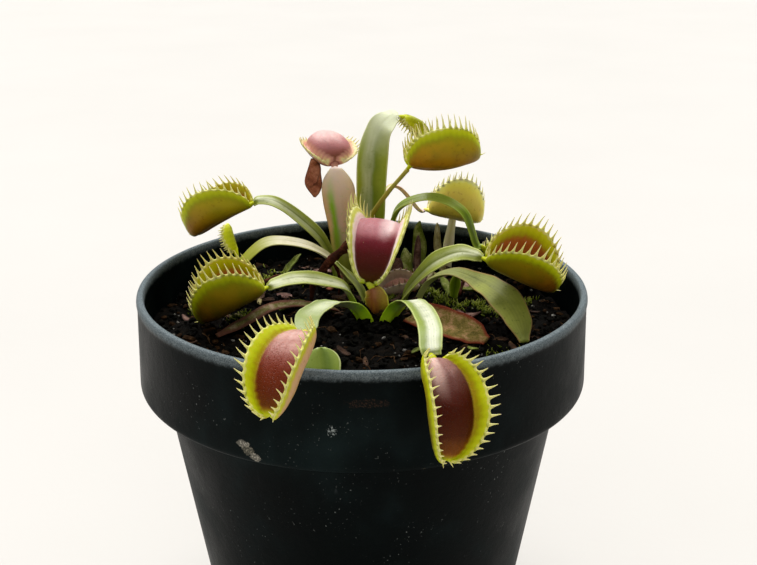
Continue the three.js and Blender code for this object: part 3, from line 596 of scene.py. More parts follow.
def dead_material(name, dark, mid, light, rim):
    """A dead leaf: crumpled browns with a redder rim."""
    g = Graph(name, specular=0.1)
    folds, fine = g.noise(330, 5, 0.7, warp=0.6), g.noise(2100, 4, 0.7)
    colour = g.ramp(folds * 0.7 + fine * 0.3, f"0.34 {dark}, 0.48 {mid}, 0.64 {light}")
    near = g.values("edge")[0] + (folds - 0.5) * 2
    colour = g.mix(near.ease(1.3, 0.2), colour, rim)
    return g.finish(colour, fine.ease(0.2, 0.8, 0.6, 0.9), folds + fine, 0.35)


# The colours of a stalk's root, crease, blade, rim and painted sheen highlight, and what else differs from
# the usual
STALK_LOOKS = dict(
    fresh=("8CB410 707C1C 98A23A C6CC7A DEE0BC", dict(highlight_band=(0.1, 1.0, 0.0))),
    # The arched and shaded stalks' bright lime roots are a painted glow, as if lit through from behind.
    arched=("C8F028 5E6E24 82923E BCC47C DCDEC4", dict(root_end=0.5, highlight_band=(0.2, 0.85, 0.15), glow=0.2)),
    shaded=("C8F028 5A6A2C 768646 BCC484 CCD2AE",
            dict(root_end=0.5, highlight_band=(0.2, 1.1, 0.1), glow=0.2, far="8C985A")),
    bright=("5A820A 5E740A 809A12 B4C44C A2B444", {}),
    disc=("8CB014 76981C A6C03A E6EEA4 B4C86C", dict(streak=(-0.3, 0.5))),
    striped=("7C8C10 6E8014 94A02E CED08A D8DCB8", dict(far="D6DAB4", highlight_band=(0.3, 0.55, 0.55))),
    golden=("7A7E12 76740E A49A2A C6BE5A C4B868", {}),
    cream=("8C9430 A09A48 B8B472 D6CE9A E2DAC0", dict(far="A8AC3A")),
    stub=("A89C5C D4CA94 EEE2BC F2EACC F6EED4", dict(glow=0.5)),
    beige=("A4AA3C 98C80C E0B89C 9A6A4C F4E0D4",
           dict(streak=(0.42, 0.42), far="F4DCD0", root_end=0.55, highlight_band=(-0.25, 0.8, 0.5), glow=0.4)),
    barrel=("4C3010 6C3010 A07C30 C4BC50 A4623C",
            dict(roughness=0.42, streak=(-0.1, 0.9), highlight_band=(-0.1, 0.7, 0.4), glow=0.3)),
    olive=("B4B86C 3E4A06 747C14 A8804C 9AA044", dict(roughness=0.42, root_end=0.58)),
)
LOOKS = {
    "husk": dead_material("stalk_husk", "3E3A10", "70602A", "A8805C", "6E2E18"),
    "pod": dead_material("stalk_pod", "3E4418", "6C6A34", "A48C74", "6A4434"),
}
for key, (inks, rest) in STALK_LOOKS.items():
    LOOKS[key] = stalk_material("stalk_" + key, *inks.split(), **rest)

# What differs from the usual in a trap's inner and outer faces and its spines; painted_sheen and
# painted_glint set the inner face's painted sheen highlight
TRAP_LOOKS = dict(
    red=(dict(body=DARK_RED, painted_sheen="ECC8BC", fade=0.44, painted_glint=(-0.27, 0.34)), {}, ""),
    peach=(dict(body=RED),
           dict(margin="0 E0DC80, 0.05 C8CC22, 0.3 C4B838, 0.6 D0A870, 1 D8A888",
                cool="0 A89A1C, 0.35 C8A86A, 0.7 D2A884, 1 B8B02C"), ""),
    rose=(dict(margin="0 F0ECA0, 0.2 DADC64, 0.6 D4D65C, 1 E8DCA8", body=CRIMSON,
               blush="0 F0ECA4, 0.2 FAECCC, 0.5 FFEAE0, 1 F6D2CE", painted_sheen="F4D8D8",
               top=0.74, fade=0.16, painted_glint=(-0.34, 0.4), width=0.62),
          dict(margin="0 ECE69A, 0.3 CACC34, 1 AAAC10"), "D8D860 ECE698 DDC09C"),
    brown=(dict(body=BROWN, painted_sheen="D8B48C", glands=0.2, width=1.25), {}, "CCCC40 E4DC94 E0B49C"),
    golden=(dict(body=BROWN, painted_sheen="D8B48C", glands=0.2),
            dict(cool="0 5A4A0A, 0.3 7C6410, 0.6 948A10, 1 B2AE12",
                 warm="0 8A5208, 0.3 B07408, 0.65 C09410, 1 CCB41C"), ""),
    green=(dict(body="0 5C5A0A, 0.5 8C900E, 1 A8AC1C", painted_sheen="D2D08A", glands=0.1),
           dict(cool="0 565A0A, 0.4 80860C, 1 AAB014"), ""),
    pale=(dict(margin="0 F8F2C4, 0.5 F0E890, 1 E4DA78", body="0.1 A09A40, 0.5 CFC46A, 0.9 E2DA98",
               blush="0 E2DA84, 1 CFC46A", painted_sheen="F0EAC0", glands=0.1),
          dict(margin="0 FCF4B4, 0.3 FAEE80, 1 F4E668", glow=0.5,
               cool="0 C4B23C, 0.25 E0CC4C, 0.7 F0E070, 1 F4E898"), "DED88A ECE4B4 E4DCB0"),
    pink=(dict(margin="0 E8DCA0, 0.15 E0BC90, 0.5 CC9484, 1 B87C70", body=PINK,
               blush="0 D8A890, 1 C08A80", painted_sheen="E8C2BC", glands=0.15, width=0.8),
          dict(margin="0 E4D498, 0.15 CC9A7C, 0.5 B0746A, 1 8A5A40", width=0.8,
               cool="0 4A3418, 0.5 7C503C, 1 A87464"), "E4D894 ECE0A0 DCC09C"),
    withered=(dict(margin="0 C4B09C, 0.5 A48C80, 1 8E7268", body="0.1 6A4034, 0.5 D8A496, 0.9 F8D0C4",
                   blush="0 ECC8B8, 1 D8A89C", painted_sheen="D8C4B8", glands=0.0),
              dict(margin="0 CEB8A6, 1 AC9086", cool="0 8C5C4C, 0.5 ECB8A4, 1 FCD8CC", glow=0.4),
              "8C6C60 A07C6E 9A7866"),
)
for key, (inside, outside, spines) in TRAP_LOOKS.items():
    TRAP_LOOKS[key] = [
        inside_material(key + "_inside", **inside),
        outside_material(key + "_outside", **outside),
        spine_material(key + "_spines", *spines.split()),
    ]


# Traps

def lobe_point(trap, s, u):
    """A point of the trap's middle sheet: s from joint (0) to tip (1), u from margin to margin (-1 to 1)."""
    s, u = np.broadcast_arrays(np.asarray(s, float), np.asarray(u, float))
    t, side = np.abs(u), np.where(u < 0, -1.0, 1.0)
    phi = math.pi * s
    start = math.radians(FLOOR_LEAN)
    end = np.radians(np.where(u < 0, trap["gape"][0], trap["gape"][1]))
    rate = (end - start) / (BEND_TO - BEND_FROM)
    level = np.minimum(t, BEND_FROM)
    bent = np.clip(t - BEND_FROM, 0, BEND_TO - BEND_FROM)
    straight = np.maximum(t - BEND_TO, 0)
    least = np.where(s < 0.5, trap.get("heel", END_REACH), trap.get("toe", END_REACH))
    reach = trap["width"] * (least + (1 - least) * np.maximum(np.sin(phi), 0) ** END_ROUNDING)
    angle = start + rate * bent
    out = level * math.sin(start) + (math.cos(start) - np.cos(angle)) / rate + straight * np.sin(end)
    up = level * math.cos(start) + (np.sin(angle) - math.sin(start)) / rate + straight * np.cos(end)
    flare = np.where(s < 0.5, JOINT_FLARE, TIP_FLARE) * t
    x = trap["length"] * (0.5 - (0.5 + flare) * np.cos(phi))
    arch = trap["arch"] * trap["length"] * np.sin(phi) ** 2
    return np.stack([x, side * reach * out, arch + reach * up], -1)


def lobe_normal(trap, s, u, e=0.01):
    ds = lobe_point(trap, np.minimum(s + e, 1), u) - lobe_point(trap, np.maximum(s - e, 0), u)
    du = lobe_point(trap, s, np.minimum(u + e, 1)) - lobe_point(trap, s, np.maximum(u - e, -1))
    return unit(np.cross(ds, du))


def with_belly(trap, S, U, inner, normal, relief):
    """The inner face with a barrel that fills the mouth and rises over the lobes' feet, and its outside."""
    span, bulge = trap["belly"]
    feet = [lobe_point(trap, S, side * span) + lobe_normal(trap, S, side * span) * 0.45 for side in (-1, 1)]
    over = np.clip((U / span + 1) / 2, 0, 1)
    barrel = feet[0] + (feet[1] - feet[0]) * over[..., None]
    full_along = np.sin(math.pi * S) ** BELLY_END_ROUNDING
    full_across = np.maximum(np.sin(math.pi * over), 0) ** BELLY_ROUNDING
    barrel[..., 2] += bulge * full_along * full_across
    barrel += normal * (relief * 0.8)[..., None]
    inner = np.where((np.abs(U) < span)[..., None], barrel, inner)
    return inner, smooth(np.abs(U), span - 0.02, span + 0.02)


def add_spine(skin, root, way, bend, length, on, girth):
    """One marginal spine from a root point, bending sideways as it thins."""
    f = np.linspace(0, 1, SPINE_RINGS)
    centres = root + np.outer(f * length - 0.5 * (1 - f) ** 4, way) + np.outer(f**2 * length, bend)
    tangent = unit(np.gradient(centres, axis=0))
    side = square_to(tangent, on)
    taper = 0.2 * (1 - f) ** 0.8 + 0.04
    wide = girth * (taper + 0.52 * np.exp(-f * 6))
    deep = girth * (taper + 0.04 * np.exp(-f * 7))
    shape, faces = bar(centres, side, np.cross(side, tangent), wide, deep, SPINE_SIDES)
    skin.add(shape, faces, 2, tip=per_point(f[:-1], SPINE_SIDES, 1))


def trap_piece(name, trap, seed, look):
    """A trap's two lobes with their cushion or belly, marginal spines, trigger hairs and neck."""
    draw = random.Random(seed)
    x = heading(*trap["aim"])
    z = heading(*trap["open"])
    z = unit(z - x * (z @ x))
    axes = np.array([x, np.cross(z, x), z])
    joint = np.array(trap["joint"]) + (0, 0, POT_HEIGHT)
    world = lambda p: joint + np.asarray(p) @ axes
    spines = trap["spines"]
    share = np.linspace(0, 1, ROWS_PER_SPINE * spines + 1)
    s = END_SHARE + (1 - 2 * END_SHARE) * share
    half = 1 - (1 - np.linspace(0, 1, LOBE_HALF_COLUMNS)) ** 1.25
    # The margin draws back between spines and its corners are rounded.
    dip = 0.5 + 0.5 * np.cos(FULL_TURN * spines * share)
    corner = 0.12 * (1 - smooth(share, 0, 0.07)) + 0.1 * (1 - smooth(1 - share, 0, 0.06))
    margin = 1 - MARGIN_DIP / trap["width"] * dip / np.maximum(np.sin(math.pi * s), 0.35) - corner
    S, U = np.meshgrid(s, np.concatenate([-half[:0:-1], half]), indexing="ij")
    U = U * (1 - (1 - margin[:, None]) * np.abs(U) ** 4)
    middle = lobe_point(trap, S, U)
    normal = lobe_normal(trap, S, np.clip(U, -0.985, 0.985))
    relief = sum(ripples(middle, seed + k, size) * rise for k, (rise, size) in enumerate(LOBE_RELIEF))
    middle = middle + normal * (relief * smooth(np.abs(U), 0.1, 0.5))[..., None]
    # The distance from each point to its own lobe's margin
    steps = np.linalg.norm(np.diff(middle, axis=1), axis=2)
    walked = np.cumsum(np.pad(steps, ((0, 0), (1, 0))), axis=1)
    rim = np.where(np.arange(U.shape[1]) < LOBE_HALF_COLUMNS, walked, walked[:, -1:] - walked)
    ends = np.minimum(share, 1 - share) * trap["length"] * 0.9 + 1 + 2.5 * (share < 0.5)
    rim = np.minimum(rim, ends[:, None])
    thin = LOBE_THICKNESS + LOBE_THICKENING * smooth(1 - np.abs(U), 0.0, 0.3)
    keel = LOBE_KEEL * np.exp(-((U / 0.05) ** 2)) * smooth(1 - share, 0, 0.2)[:, None]
    inner = middle + normal * thin[..., None]
    face = np.zeros(S.shape)
    if "belly" in trap:
        inner, face = with_belly(trap, S, U, inner, normal, relief)
    else:
        swell = np.sin(math.pi * np.minimum(np.abs(U) / CUSHION_SHARE, 1)) ** 2
        inner = inner + normal * (CUSHION * np.sin(math.pi * S) * swell)[..., None]
    bottom = thin + keel
    points, faces, kinds, spots = shell(world(middle), normal @ axes, world(inner), bottom, LOBE_ROUNDING)
    pick = lambda grid: grid.ravel()[spots]
    height = points[:, 2] - points[:, 2].min()
    skin = Skin("rim", "run", "up", "side", "lit", "flush", "tip", "face")
    first_flush, last_flush = trap["flush"]
    skin.add(points, faces, kinds, rim=pick(rim), run=pick(S), up=height / height.max(), side=pick(U),
             flush=first_flush + (last_flush - first_flush) * pick(S), face=pick(face),
             lit=pick(facing_up(world(inner))))

    size = trap.get("spine", SPINE_LENGTH)
    girth = 0.75 + 0.25 * size / SPINE_LENGTH
    vary = lambda: draw.random() - 0.5
    for side in (-1, 1):
        for k in range(spines):
            at = (k + 0.5) / spines
            si = END_SHARE + (1 - 2 * END_SHARE) * at
            ui = side * np.interp(at, share, margin)
            root = lobe_point(trap, si, ui)
            outward = unit(root - lobe_point(trap, si, ui * 0.9))
            onward = unit(lobe_point(trap, si + 0.01, ui) - lobe_point(trap, si - 0.01, ui))
            into = lobe_normal(trap, si, ui * 0.98)
            fan = 0.4 * (si - 0.5) + 0.12 * vary()
            way = unit(outward + onward * fan + into * (0.1 + 0.1 * vary()))
            bend = into * (0.16 + 0.12 * vary()) + onward * (0.12 * (si - 0.5) + 0.1 * vary())
            growth = 1 + trap.get("slant", 0) * (2 * si - 1)
            length = size * (0.5 + 0.5 * math.sin(math.pi * si)) * growth * (1 + 0.16 * vary())
            add_spine(skin, world(root), way @ axes, bend @ axes, length, onward @ axes, girth)
        # One more spine at the tip, beside the notch between the lobes.
        root = world(lobe_point(trap, 1 - END_SHARE, side * 0.5))
        way = unit(np.array([1, side * 0.25, 0.25]) @ axes)
        add_spine(skin, root, way, axes[2] * 0.1, size * 0.5, axes[1], girth * 0.8)
        for si, ti in TRIGGER_HAIRS:
            into = lobe_normal(trap, si, side * ti)
            f = np.linspace(0, 1, HAIR_RINGS)
            root = world(lobe_point(trap, si, side * ti) + into * 0.8)
            hair = root + np.outer(f * HAIR_LENGTH * size / SPINE_LENGTH, into @ axes)
            thick = 0.09 * (1 - f) + 0.03
            across, over = [axes[0]] * HAIR_RINGS, [axes[1]] * HAIR_RINGS
            skin.add(*bar(hair, across, over, thick, thick, HAIR_SIDES), 2, tip=0.9)

    # The neck comes from the stalk in its own direction and runs out along the midrib.
    behind = heading(*trap.get("neck", trap["aim"]))
    reach = np.array(NECK_REACH)
    centres = world(np.stack([reach, 0 * reach, trap["arch"] * reach], -1))
    centres = np.where((reach < 0)[:, None], joint + np.outer(reach, behind), centres)
    tangent = unit(np.gradient(centres, axis=0))
    side = square_to(tangent, axes[1])
    radii = np.array(NECK_RADII)
    neck = bar(centres, side, np.cross(side, tangent), radii * 1.3, radii * 0.75, NECK_SIDES)
    skin.add(*neck, 1, rim=1.2, run=0.1, up=0.7, flush=first_flush)
    return skin.object(name, look)


# Stalks

def stalk_piece(name, leaf, seed, material):
    """A leafy stalk: a folded blade with a keel under it, thin waved edges and a rounded rim."""
    path = [np.array(point.split(), float) for point in leaf["path"].split(",")]
    path.insert(0, path[0] - (0, 0, HOLE_DEPTH))
    trap = leaf.get("trap")
    if trap:
        way = heading(*trap.get("neck", trap["aim"]))
        for straight in (STALK_END_STRAIGHT, 0):
            path.append(np.array(trap["joint"]) - way * (NECK_LENGTH + GAP + straight))
    path = np.array(path) + (0, 0, POT_HEIGHT)
    t = np.linspace(0, 1, STALK_ROWS)
    centre = curve(path, t)
    tangent = unit(curve(path, np.minimum(t + 1e-3, 1)) - curve(path, np.maximum(t - 1e-3, 0)))
    if "across" in leaf:
        across = heading(leaf["across"], 0)
    else:
        across = unit(np.array([path[0][1] - path[-1][1], path[-1][0] - path[0][0], 0]))
    side = square_to(tangent, across)
    turn = np.radians(along(leaf.get("twist", [0, 0]), t))[:, None]
    side = side * np.cos(turn) + np.cross(tangent, side) * np.sin(turn)
    up = np.cross(tangent, side)
    half = along(leaf["width"], t) / 2
    if "rounded" in leaf:
        reach, power = leaf["rounded"]
        walked = np.append(0, np.cumsum(np.linalg.norm(np.diff(centre, axis=0), axis=1)))
        over = np.clip(1 - (walked[-1] - walked) / reach, 0, 1)
        half = np.maximum(half * (1 - over**2) ** power, BLUNT_END)
    even = np.linspace(-1, 1, STALK_COLUMNS)
    u = np.sin(even * math.pi / 2) * 0.7 + even * 0.3
    folded = leaf.get("fold", FOLD) * half * np.sin(math.pi * np.minimum(t + 0.05, 1))
    crease = np.sqrt(u**2 + 0.012) - 0.5
    wave = 1 + 0.03 * ripples(centre, seed, 11.0)
    middle = (centre[:, None] + side[:, None] * (u[None, :, None] * (half * wave)[:, None, None])
              + up[:, None] * (folded[:, None] * crease[None])[..., None])
    flutter = FLUTTER * np.abs(u)[None] ** 2 * np.minimum(half / 2.5, 1)[:, None]
    middle = middle + up[:, None] * (ripples(middle, seed + 3, 8.0) * flutter)[..., None]
    normal = grid_normal(middle)
    normal *= np.sign((normal * up[:, None]).sum(-1, keepdims=True))
    midrib = along(leaf.get("middle", MIDRIB_THICKNESS), t)[:, None]
    thick = EDGE_THICKNESS + (midrib - EDGE_THICKNESS) * (1 - np.abs(u)[None]) ** 1.4
    groove = GROOVE * np.exp(-((u / 0.12) ** 2))[None] * np.minimum(half / 2, 1)[:, None]
    upper = middle + normal * (thick * 0.42 - groove)[..., None]
    points, faces, kinds, spots = shell(middle, normal, upper, thick * 0.62, STALK_ROUNDING)
    pick = lambda grid: np.broadcast_to(grid, thick.shape).ravel()[spots]
    skin = Skin("across", "run", "edge", "lit")
    edge = (1 - np.abs(u))[None] * half[:, None]
    skin.add(points, faces, across=pick(u), run=pick(t[:, None]), edge=pick(edge), lit=pick(facing_up(upper)))
    return skin.object(name, [material])


OLIVE_STALKS = ("centre", "back_left", "back_right", "drooping", "old_back")
DEAD_STALKS = ("old_left", "dead_right")
STALK_SEED = 100
TRAP_SEED = 11
TRAP_SEED_STEP = 7

for number, leaf in enumerate(LEAVES):
    name, trap = leaf["name"], leaf.get("trap")
    slot_name = "leaf_olive" if name in OLIVE_STALKS else "dead_leaf" if name in DEAD_STALKS else "leaf_green"
    stalk = stalk_piece("leaf_" + name, leaf, STALK_SEED + number, LOOKS[leaf["look"]])
    place(stalk, slot_name, "stalk_" + name)
    if trap:
        slot_name = "pale_trap" if trap["look"] == "pale" else "trap_green"
        seed = TRAP_SEED + TRAP_SEED_STEP * number
        place(trap_piece("snap_" + name, trap, seed, TRAP_LOOKS[trap["look"]]), slot_name, "trap_" + name)
place(trap_piece("snap_withered", WITHERED, 5, TRAP_LOOKS["withered"]), "dead_leaf", "trap_withered")


# Pot

def rounded(corners, steps=5):
    """A profile from (r, z, fillet) corners, each rounded by its fillet."""
    out = []
    for k, (r, z, fillet) in enumerate(corners):
        here = np.array([r, z], float)
        if not fillet:
            out.append(here)
            continue
        before, after = np.array(corners[k - 1][:2], float), np.array(corners[k + 1][:2], float)
        a = here + unit(before - here) * min(fillet, np.linalg.norm(before - here) * 0.45)
        b = here + unit(after - here) * min(fillet, np.linalg.norm(after - here) * 0.45)
        out += [a * (1 - w) ** 2 + here * 2 * w * (1 - w) + b * w**2 for w in np.linspace(0, 1, steps)]
    return out


def subdivided(profile, longest=3.0):
    out = [profile[0]]
    for a, b in zip(profile, profile[1:]):
        pieces = max(1, math.ceil(math.dist(a, b) / longest))
        out += [a + (b - a) * k / pieces for k in range(1, pieces + 1)]
    return out


# The pot's larger marks: centre, reach on each axis, colour and least cover
POT_MARKS = (
    ((-27.0, -53.6, 89.4), (1.5, 3, 0.9), "B0AA9C", 0.3),
    ((-25.7, -54.2, 87.9), (1.4, 3, 1.1), "8E8878", 0.25),
    ((-24.2, -55.0, 86.6), (1.4, 3, 0.9), "B4AEA0", 0.3),
    ((-6.3, -59.7, 95.5), (1.2, 3, 1.3), "969E9C", 0.0),
    ((16.4, -57.7, 82.3), (4.5, 5, 2.6), "7A6E54", 0.0),
    ((1.6, -60, 102.3), (5, 4, 1.2), "33241C", 0.1),
)


def pot_material():
    """Black recycled plastic: cloudy satin, dusted and scratched, with a grey lip that is partly wear and
    partly a painted highlight.
    """
    g = Graph("pot_plastic", specular=0.04)
    cloud, grain = g.noise(45, 5, 0.6), g.noise(2600, 3, 0.7)
    colour = g.ramp(cloud, "0.3 010404, 0.55 030909, 0.75 0A1516")
    specks = g.noise(1500, 2, 0.45).ease(0.68, 0.76) * g.noise(60, 2).ease(0.45, 0.65)
    colour = g.mix(specks * 0.5, colour, "8E938F")
    scratch = g.noise(210, 2, 0.5, stretch=(1.0, 1.0, 0.16)).ease(0.69, 0.72) * g.noise(80, 2).ease(0.5, 0.65)
    colour = g.mix(scratch * 0.16, colour, "70777A")
    colour = g.mix(g.noise(22, 4, 0.65).ease(0.5, 0.8) * 0.3, colour, "223030")
    chips = g.noise(2600, 3, 0.6).ease(0.5, 0.6) * 0.9
    for centre, spread, ink, cover in POT_MARKS:
        colour = g.mix(g.spot(centre, spread) * g.math("MAXIMUM", chips, cover), colour, ink)
    z = g.node("SeparateXYZ", "Z", {0: g.where})
    # A lighter grey ring round the top of the lip: partly wear, partly a painted highlight.
    lip_wear_and_highlight = (z + (g.noise(700) - 0.5) * 0.0016).ease(0.1072, 0.1092)
    lip = g.mix(g.noise(3400, 3, 0.7).ease(0.3, 0.75), "434D51", "858F92")
    colour = g.mix(lip_wear_and_highlight * 0.9, colour, lip)
    roughness = cloud.ease(0.3, 0.7, 0.36, 0.52) + specks * 0.3
    return g.finish(colour, roughness, grain * 0.5 + g.noise(500), 0.07)


pot_profile = subdivided(rounded([
    (0, 0, 0), (BASE_RADIUS - 1.2, 0, 0.6), (BASE_RADIUS, 1.2, 1.0),
    (WALL_UNDER_BAND_RADIUS, BAND_FOOT - 1, 0.8), (BAND_OUTER_RADIUS - 0.6, BAND_FOOT - 0.1, 0.5),
    (BAND_OUTER_RADIUS, BAND_FOOT + 0.8, 0.9), (LIP_OUTER_RADIUS - 0.25, POT_HEIGHT - 2.6, 0.8),
    (LIP_OUTER_RADIUS + 0.05, POT_HEIGHT - 1.4, 0.7), (LIP_OUTER_RADIUS - 0.35, POT_HEIGHT - 0.1, 0.9),
    (RIM_INNER_RADIUS + 0.4, POT_HEIGHT, 0.8), (RIM_INNER_RADIUS, POT_HEIGHT - 0.9, 0.6),
    (BAND_INNER_RADIUS, BAND_FOOT + 1, 1.0), (WALL_INNER_RADIUS, BAND_FOOT - 2, 1.0),
    (FLOOR_RADIUS, FLOOR_THICKNESS, 0.8), (0, FLOOR_THICKNESS, 0)]))
pot_turns = FULL_TURN * np.arange(POT_SIDES) / POT_SIDES
pot_rings = [[(*polar(r, a), z) for a in pot_turns] for r, z in pot_profile[1:-1]]
pot_shell = closed((0, 0, 0), pot_rings, (0, 0, FLOOR_THICKNESS))
place(make("pot_shell", *pot_shell, [pot_material()]), "pot_plastic", "pot")


# Potting mix

def soil_height(x, y):
    """The height of the potting mix under the rim plane, as in the part's source."""
    r = np.hypot(x, y)
    waves = (np.sin(x * 0.21 + 1.3) * np.cos(y * 0.17 - 0.4) + 0.6 * np.sin(x * 0.43 - y * 0.31 + 2.1)
             + 0.4 * np.cos(x * 0.11 + y * 0.59) + np.sin(x * 0.46 + 0.9) * np.sin(y * 0.44 - 0.7))
    calm = np.clip((r - CALM_RADIUS) / CALM_WIDTH, CALM_SHARE, 1)
    return SOIL_BUMP * waves * calm - SOIL_DEPTH - SOIL_EDGE_DROP * (r / RIM_INNER_RADIUS) ** 2


def ground(x, y):
    """The height of the mix with its fine seeded relief, crumbs a few millimetres across."""
    coarse = noise.fractal(Vector((x * 0.33, y * 0.33, 3.1)), 0.6, 2.1, 4)
    clods = 0.75 * coarse + 0.35 * abs(noise.noise(Vector((x * 1.4, y * 1.4, 9.0))))
    return POT_HEIGHT + float(soil_height(x, y)) + clods


def soil_material(name, inks):
    g = Graph(name, specular=0.05)
    dark, mid, light = inks.split()
    lumps, fine = g.noise(420, 5, 0.7), g.noise(2400, 4, 0.75)
    colour = g.ramp(lumps * 0.6 + fine * 0.4, f"0.36 {dark}, 0.52 {mid}, 0.66 {light}")
    return g.finish(colour, fine.ease(0.2, 0.8, 0.7, 1), lumps + fine, 0.6)


soil_turns = FULL_TURN * np.arange(SOIL_SIDES) / SOIL_SIDES
soil_rings = []
for ring in range(1, SOIL_RINGS + 1):
    spots = [polar(SOIL_EDGE * ring / SOIL_RINGS, a) for a in soil_turns]
    soil_rings.append([(x, y, ground(x, y) - 0.1) for x, y in spots])
for radius, z in ((SOIL_EDGE, BAND_FOOT + 1.8), (WALL_INNER_RADIUS - SOIL_SIDE_GAP, BAND_FOOT - 1.4),
                  (FLOOR_RADIUS - SOIL_SIDE_GAP, FLOOR_THICKNESS + GAP)):
    soil_rings.append([(*polar(radius, a), z) for a in soil_turns])
soil_top, soil_foot = (0, 0, POT_HEIGHT + soil_height(0, 0)), (0, 0, FLOOR_THICKNESS + GAP)
soil_shell = closed(soil_top, soil_rings, soil_foot, downward=True)
soil_look = soil_material("mix_base", "020201 0B0805 1E160E")
place(make("potting_mix", *soil_shell, [soil_look]), "potting_mix", "soil")

GOLDEN = (1 + 5**0.5) / 2
ICO_POINTS = unit(np.array([(-1, GOLDEN, 0), (1, GOLDEN, 0), (-1, -GOLDEN, 0), (1, -GOLDEN, 0),
                            (0, -1, GOLDEN), (0, 1, GOLDEN), (0, -1, -GOLDEN), (0, 1, -GOLDEN),
                            (GOLDEN, 0, -1), (GOLDEN, 0, 1), (-GOLDEN, 0, -1), (-GOLDEN, 0, 1)]))
ICO_FACES = [(0, 11, 5), (0, 5, 1), (0, 1, 7), (0, 7, 10), (0, 10, 11), (1, 5, 9), (5, 11, 4), (11, 10, 2),
             (10, 7, 6), (7, 1, 8), (3, 9, 4), (3, 4, 2), (3, 2, 6), (3, 6, 8), (3, 8, 9), (4, 9, 5),
             (2, 4, 11), (6, 2, 10), (8, 6, 7), (9, 8, 1)]


def scatter(name, count, sizes, squash, seed, inks, sink=0.2, centre=(0.0, 0.0), reach=STREWN_REACH):
    """Loose crumbs strewn round a centre on the mix, each a jittered and turned lump, as one piece."""
    draw = np.random.default_rng(seed)
    skin = Skin()
    for _ in range(count):
        x, y = np.array(centre) + polar(reach * math.sqrt(draw.random()), draw.uniform(0, FULL_TURN))
        size = sizes[0] + (sizes[1] - sizes[0]) * draw.random() ** 3
        jitter = draw.uniform(0.7, 1.25, (12, 1))
        lump = ICO_POINTS * jitter * size * np.array([1, draw.uniform(0.5, 1), squash])
        spin, lean = draw.uniform(0, FULL_TURN), draw.normal(0, 0.4)
        (c, s), (cl, sl) = polar(1, spin), polar(1, lean)
        lump = lump @ np.array([[1, 0, 0], [0, cl, sl], [0, -sl, cl]])
        lump = lump @ np.array([[c, s, 0], [-s, c, 0], [0, 0, 1]])
        skin.add(lump + (x, y, ground(x, y) + size * squash * (0.55 - sink)), ICO_FACES)
    place(skin.object(name, [soil_material(name, inks)], smooth_shade=False), "potting_mix")


scatter("mix_crumbs", 3200, (0.35, 1.5), 0.7, 21, "020302 0A0905 1C170E")
scatter("mix_mound", 620, (0.5, 1.5), 0.85, 24, "020302 0A0905 1C170E", -0.15, (4, -1), 10)
scatter("mix_bark", 420, (0.6, 2.2), 0.4, 22, "120A05 33210F 5A4028")
scatter("mix_grit", 260, (0.25, 0.75), 0.8, 23, "4E4C48 8A8780 BDB9B0")


# Litter and moss

def dry_material(name, inks):
    g = Graph(name, specular=0.12, subsurface=0.05)
    dark, mid, light = inks.split()
    folds, fine = g.noise(300, 4, 0.65, warp=0.4), g.noise(2100, 4, 0.7)
    colour = g.ramp(folds * 0.75 + fine * 0.25, f"0.32 {dark}, 0.5 {mid}, 0.66 {light}")
    colour = g.mix(g.values("edge")[0].ease(0.5, 0.05, 0, 0.6), colour, dark)
    return g.finish(colour, fine.ease(0.2, 0.8, 0.55, 0.85), folds + fine, 0.25)


def scraps(name, seed, inks, places):
    """Curled scraps of dead leaf as one piece, each at (x, y, rise, yaw, lean, length, width)."""
    draw = np.random.default_rng(seed)
    skin = Skin("edge")
    s, u = np.meshgrid(np.linspace(-1, 1, 13), np.linspace(-1, 1, 9), indexing="ij")
    for x, y, rise, yaw, lean, length, width in places:
        bow, cup = draw.uniform(-0.1, 0.18) * length, draw.uniform(-0.2, 0.35) * width
        half = width / 2 * np.maximum(1 - s**2, 0.03) ** 0.55
        flat = np.stack([s * length / 2, u * half, bow * s**2 + cup * u**2 * half / width * 2], -1)
        flat[..., 1] += 0.12 * width * ripples(flat, int(draw.integers(1e6)), 0.6 * length)
        flat[..., 2] += 0.08 * width * ripples(flat, int(draw.integers(1e6)), 0.4 * length)
        ahead, across = heading(yaw, lean), heading(yaw + 90, 0)
        middle = flat @ np.array([ahead, across, np.cross(ahead, across)]) + (x, y, ground(x, y) + rise)
        normal = grid_normal(middle)
        points, faces, _, spots = shell(middle, normal, middle + normal * 0.16, np.full(s.shape, 0.16), 0.06)
        skin.add(points, faces, edge=((1 - np.abs(u)) * half).ravel()[spots])
    place(skin.object(name, [dry_material(name, inks)]), "dead_leaf")


def sticks(name, inks, slot_name, paths, sides):
    """Bent twigs and fibres as one piece, each a list of points with the radius at its thick end."""
    skin = Skin()
    for path, radius in paths:
        t = np.linspace(0, 1, 5 * len(path))
        centres = curve(np.array(path) + (0, 0, POT_HEIGHT), t)
        tangent = unit(np.gradient(centres, axis=0))
        side = unit(np.cross(tangent, (0.31, 0.2, 0.93)))
        thick = radius * (1 - 0.55 * t) * (1 + 0.22 * np.sin(17 * t + radius * 40))
        skin.add(*bar(centres, side, np.cross(side, tangent), thick, thick, sides))
    place(skin.object(name, [soil_material(name, inks)]), slot_name)


def strewn(seed, count, sizes, inner=0.0, outer=54.0, nearest=-60.0):
    """Seeded places for scraps that lie about on the mix."""
    draw = np.random.default_rng(seed)
    places = []
    for _ in range(count):
        x, y = polar(math.sqrt(draw.uniform(inner**2, outer**2)), draw.uniform(0, FULL_TURN))
        length = draw.uniform(*sizes)
        if y >= nearest:
            places.append((x, y, 0.35, draw.uniform(0, 360), draw.uniform(-14, 14), length,
                           length * draw.uniform(0.25, 0.5)))
    return places


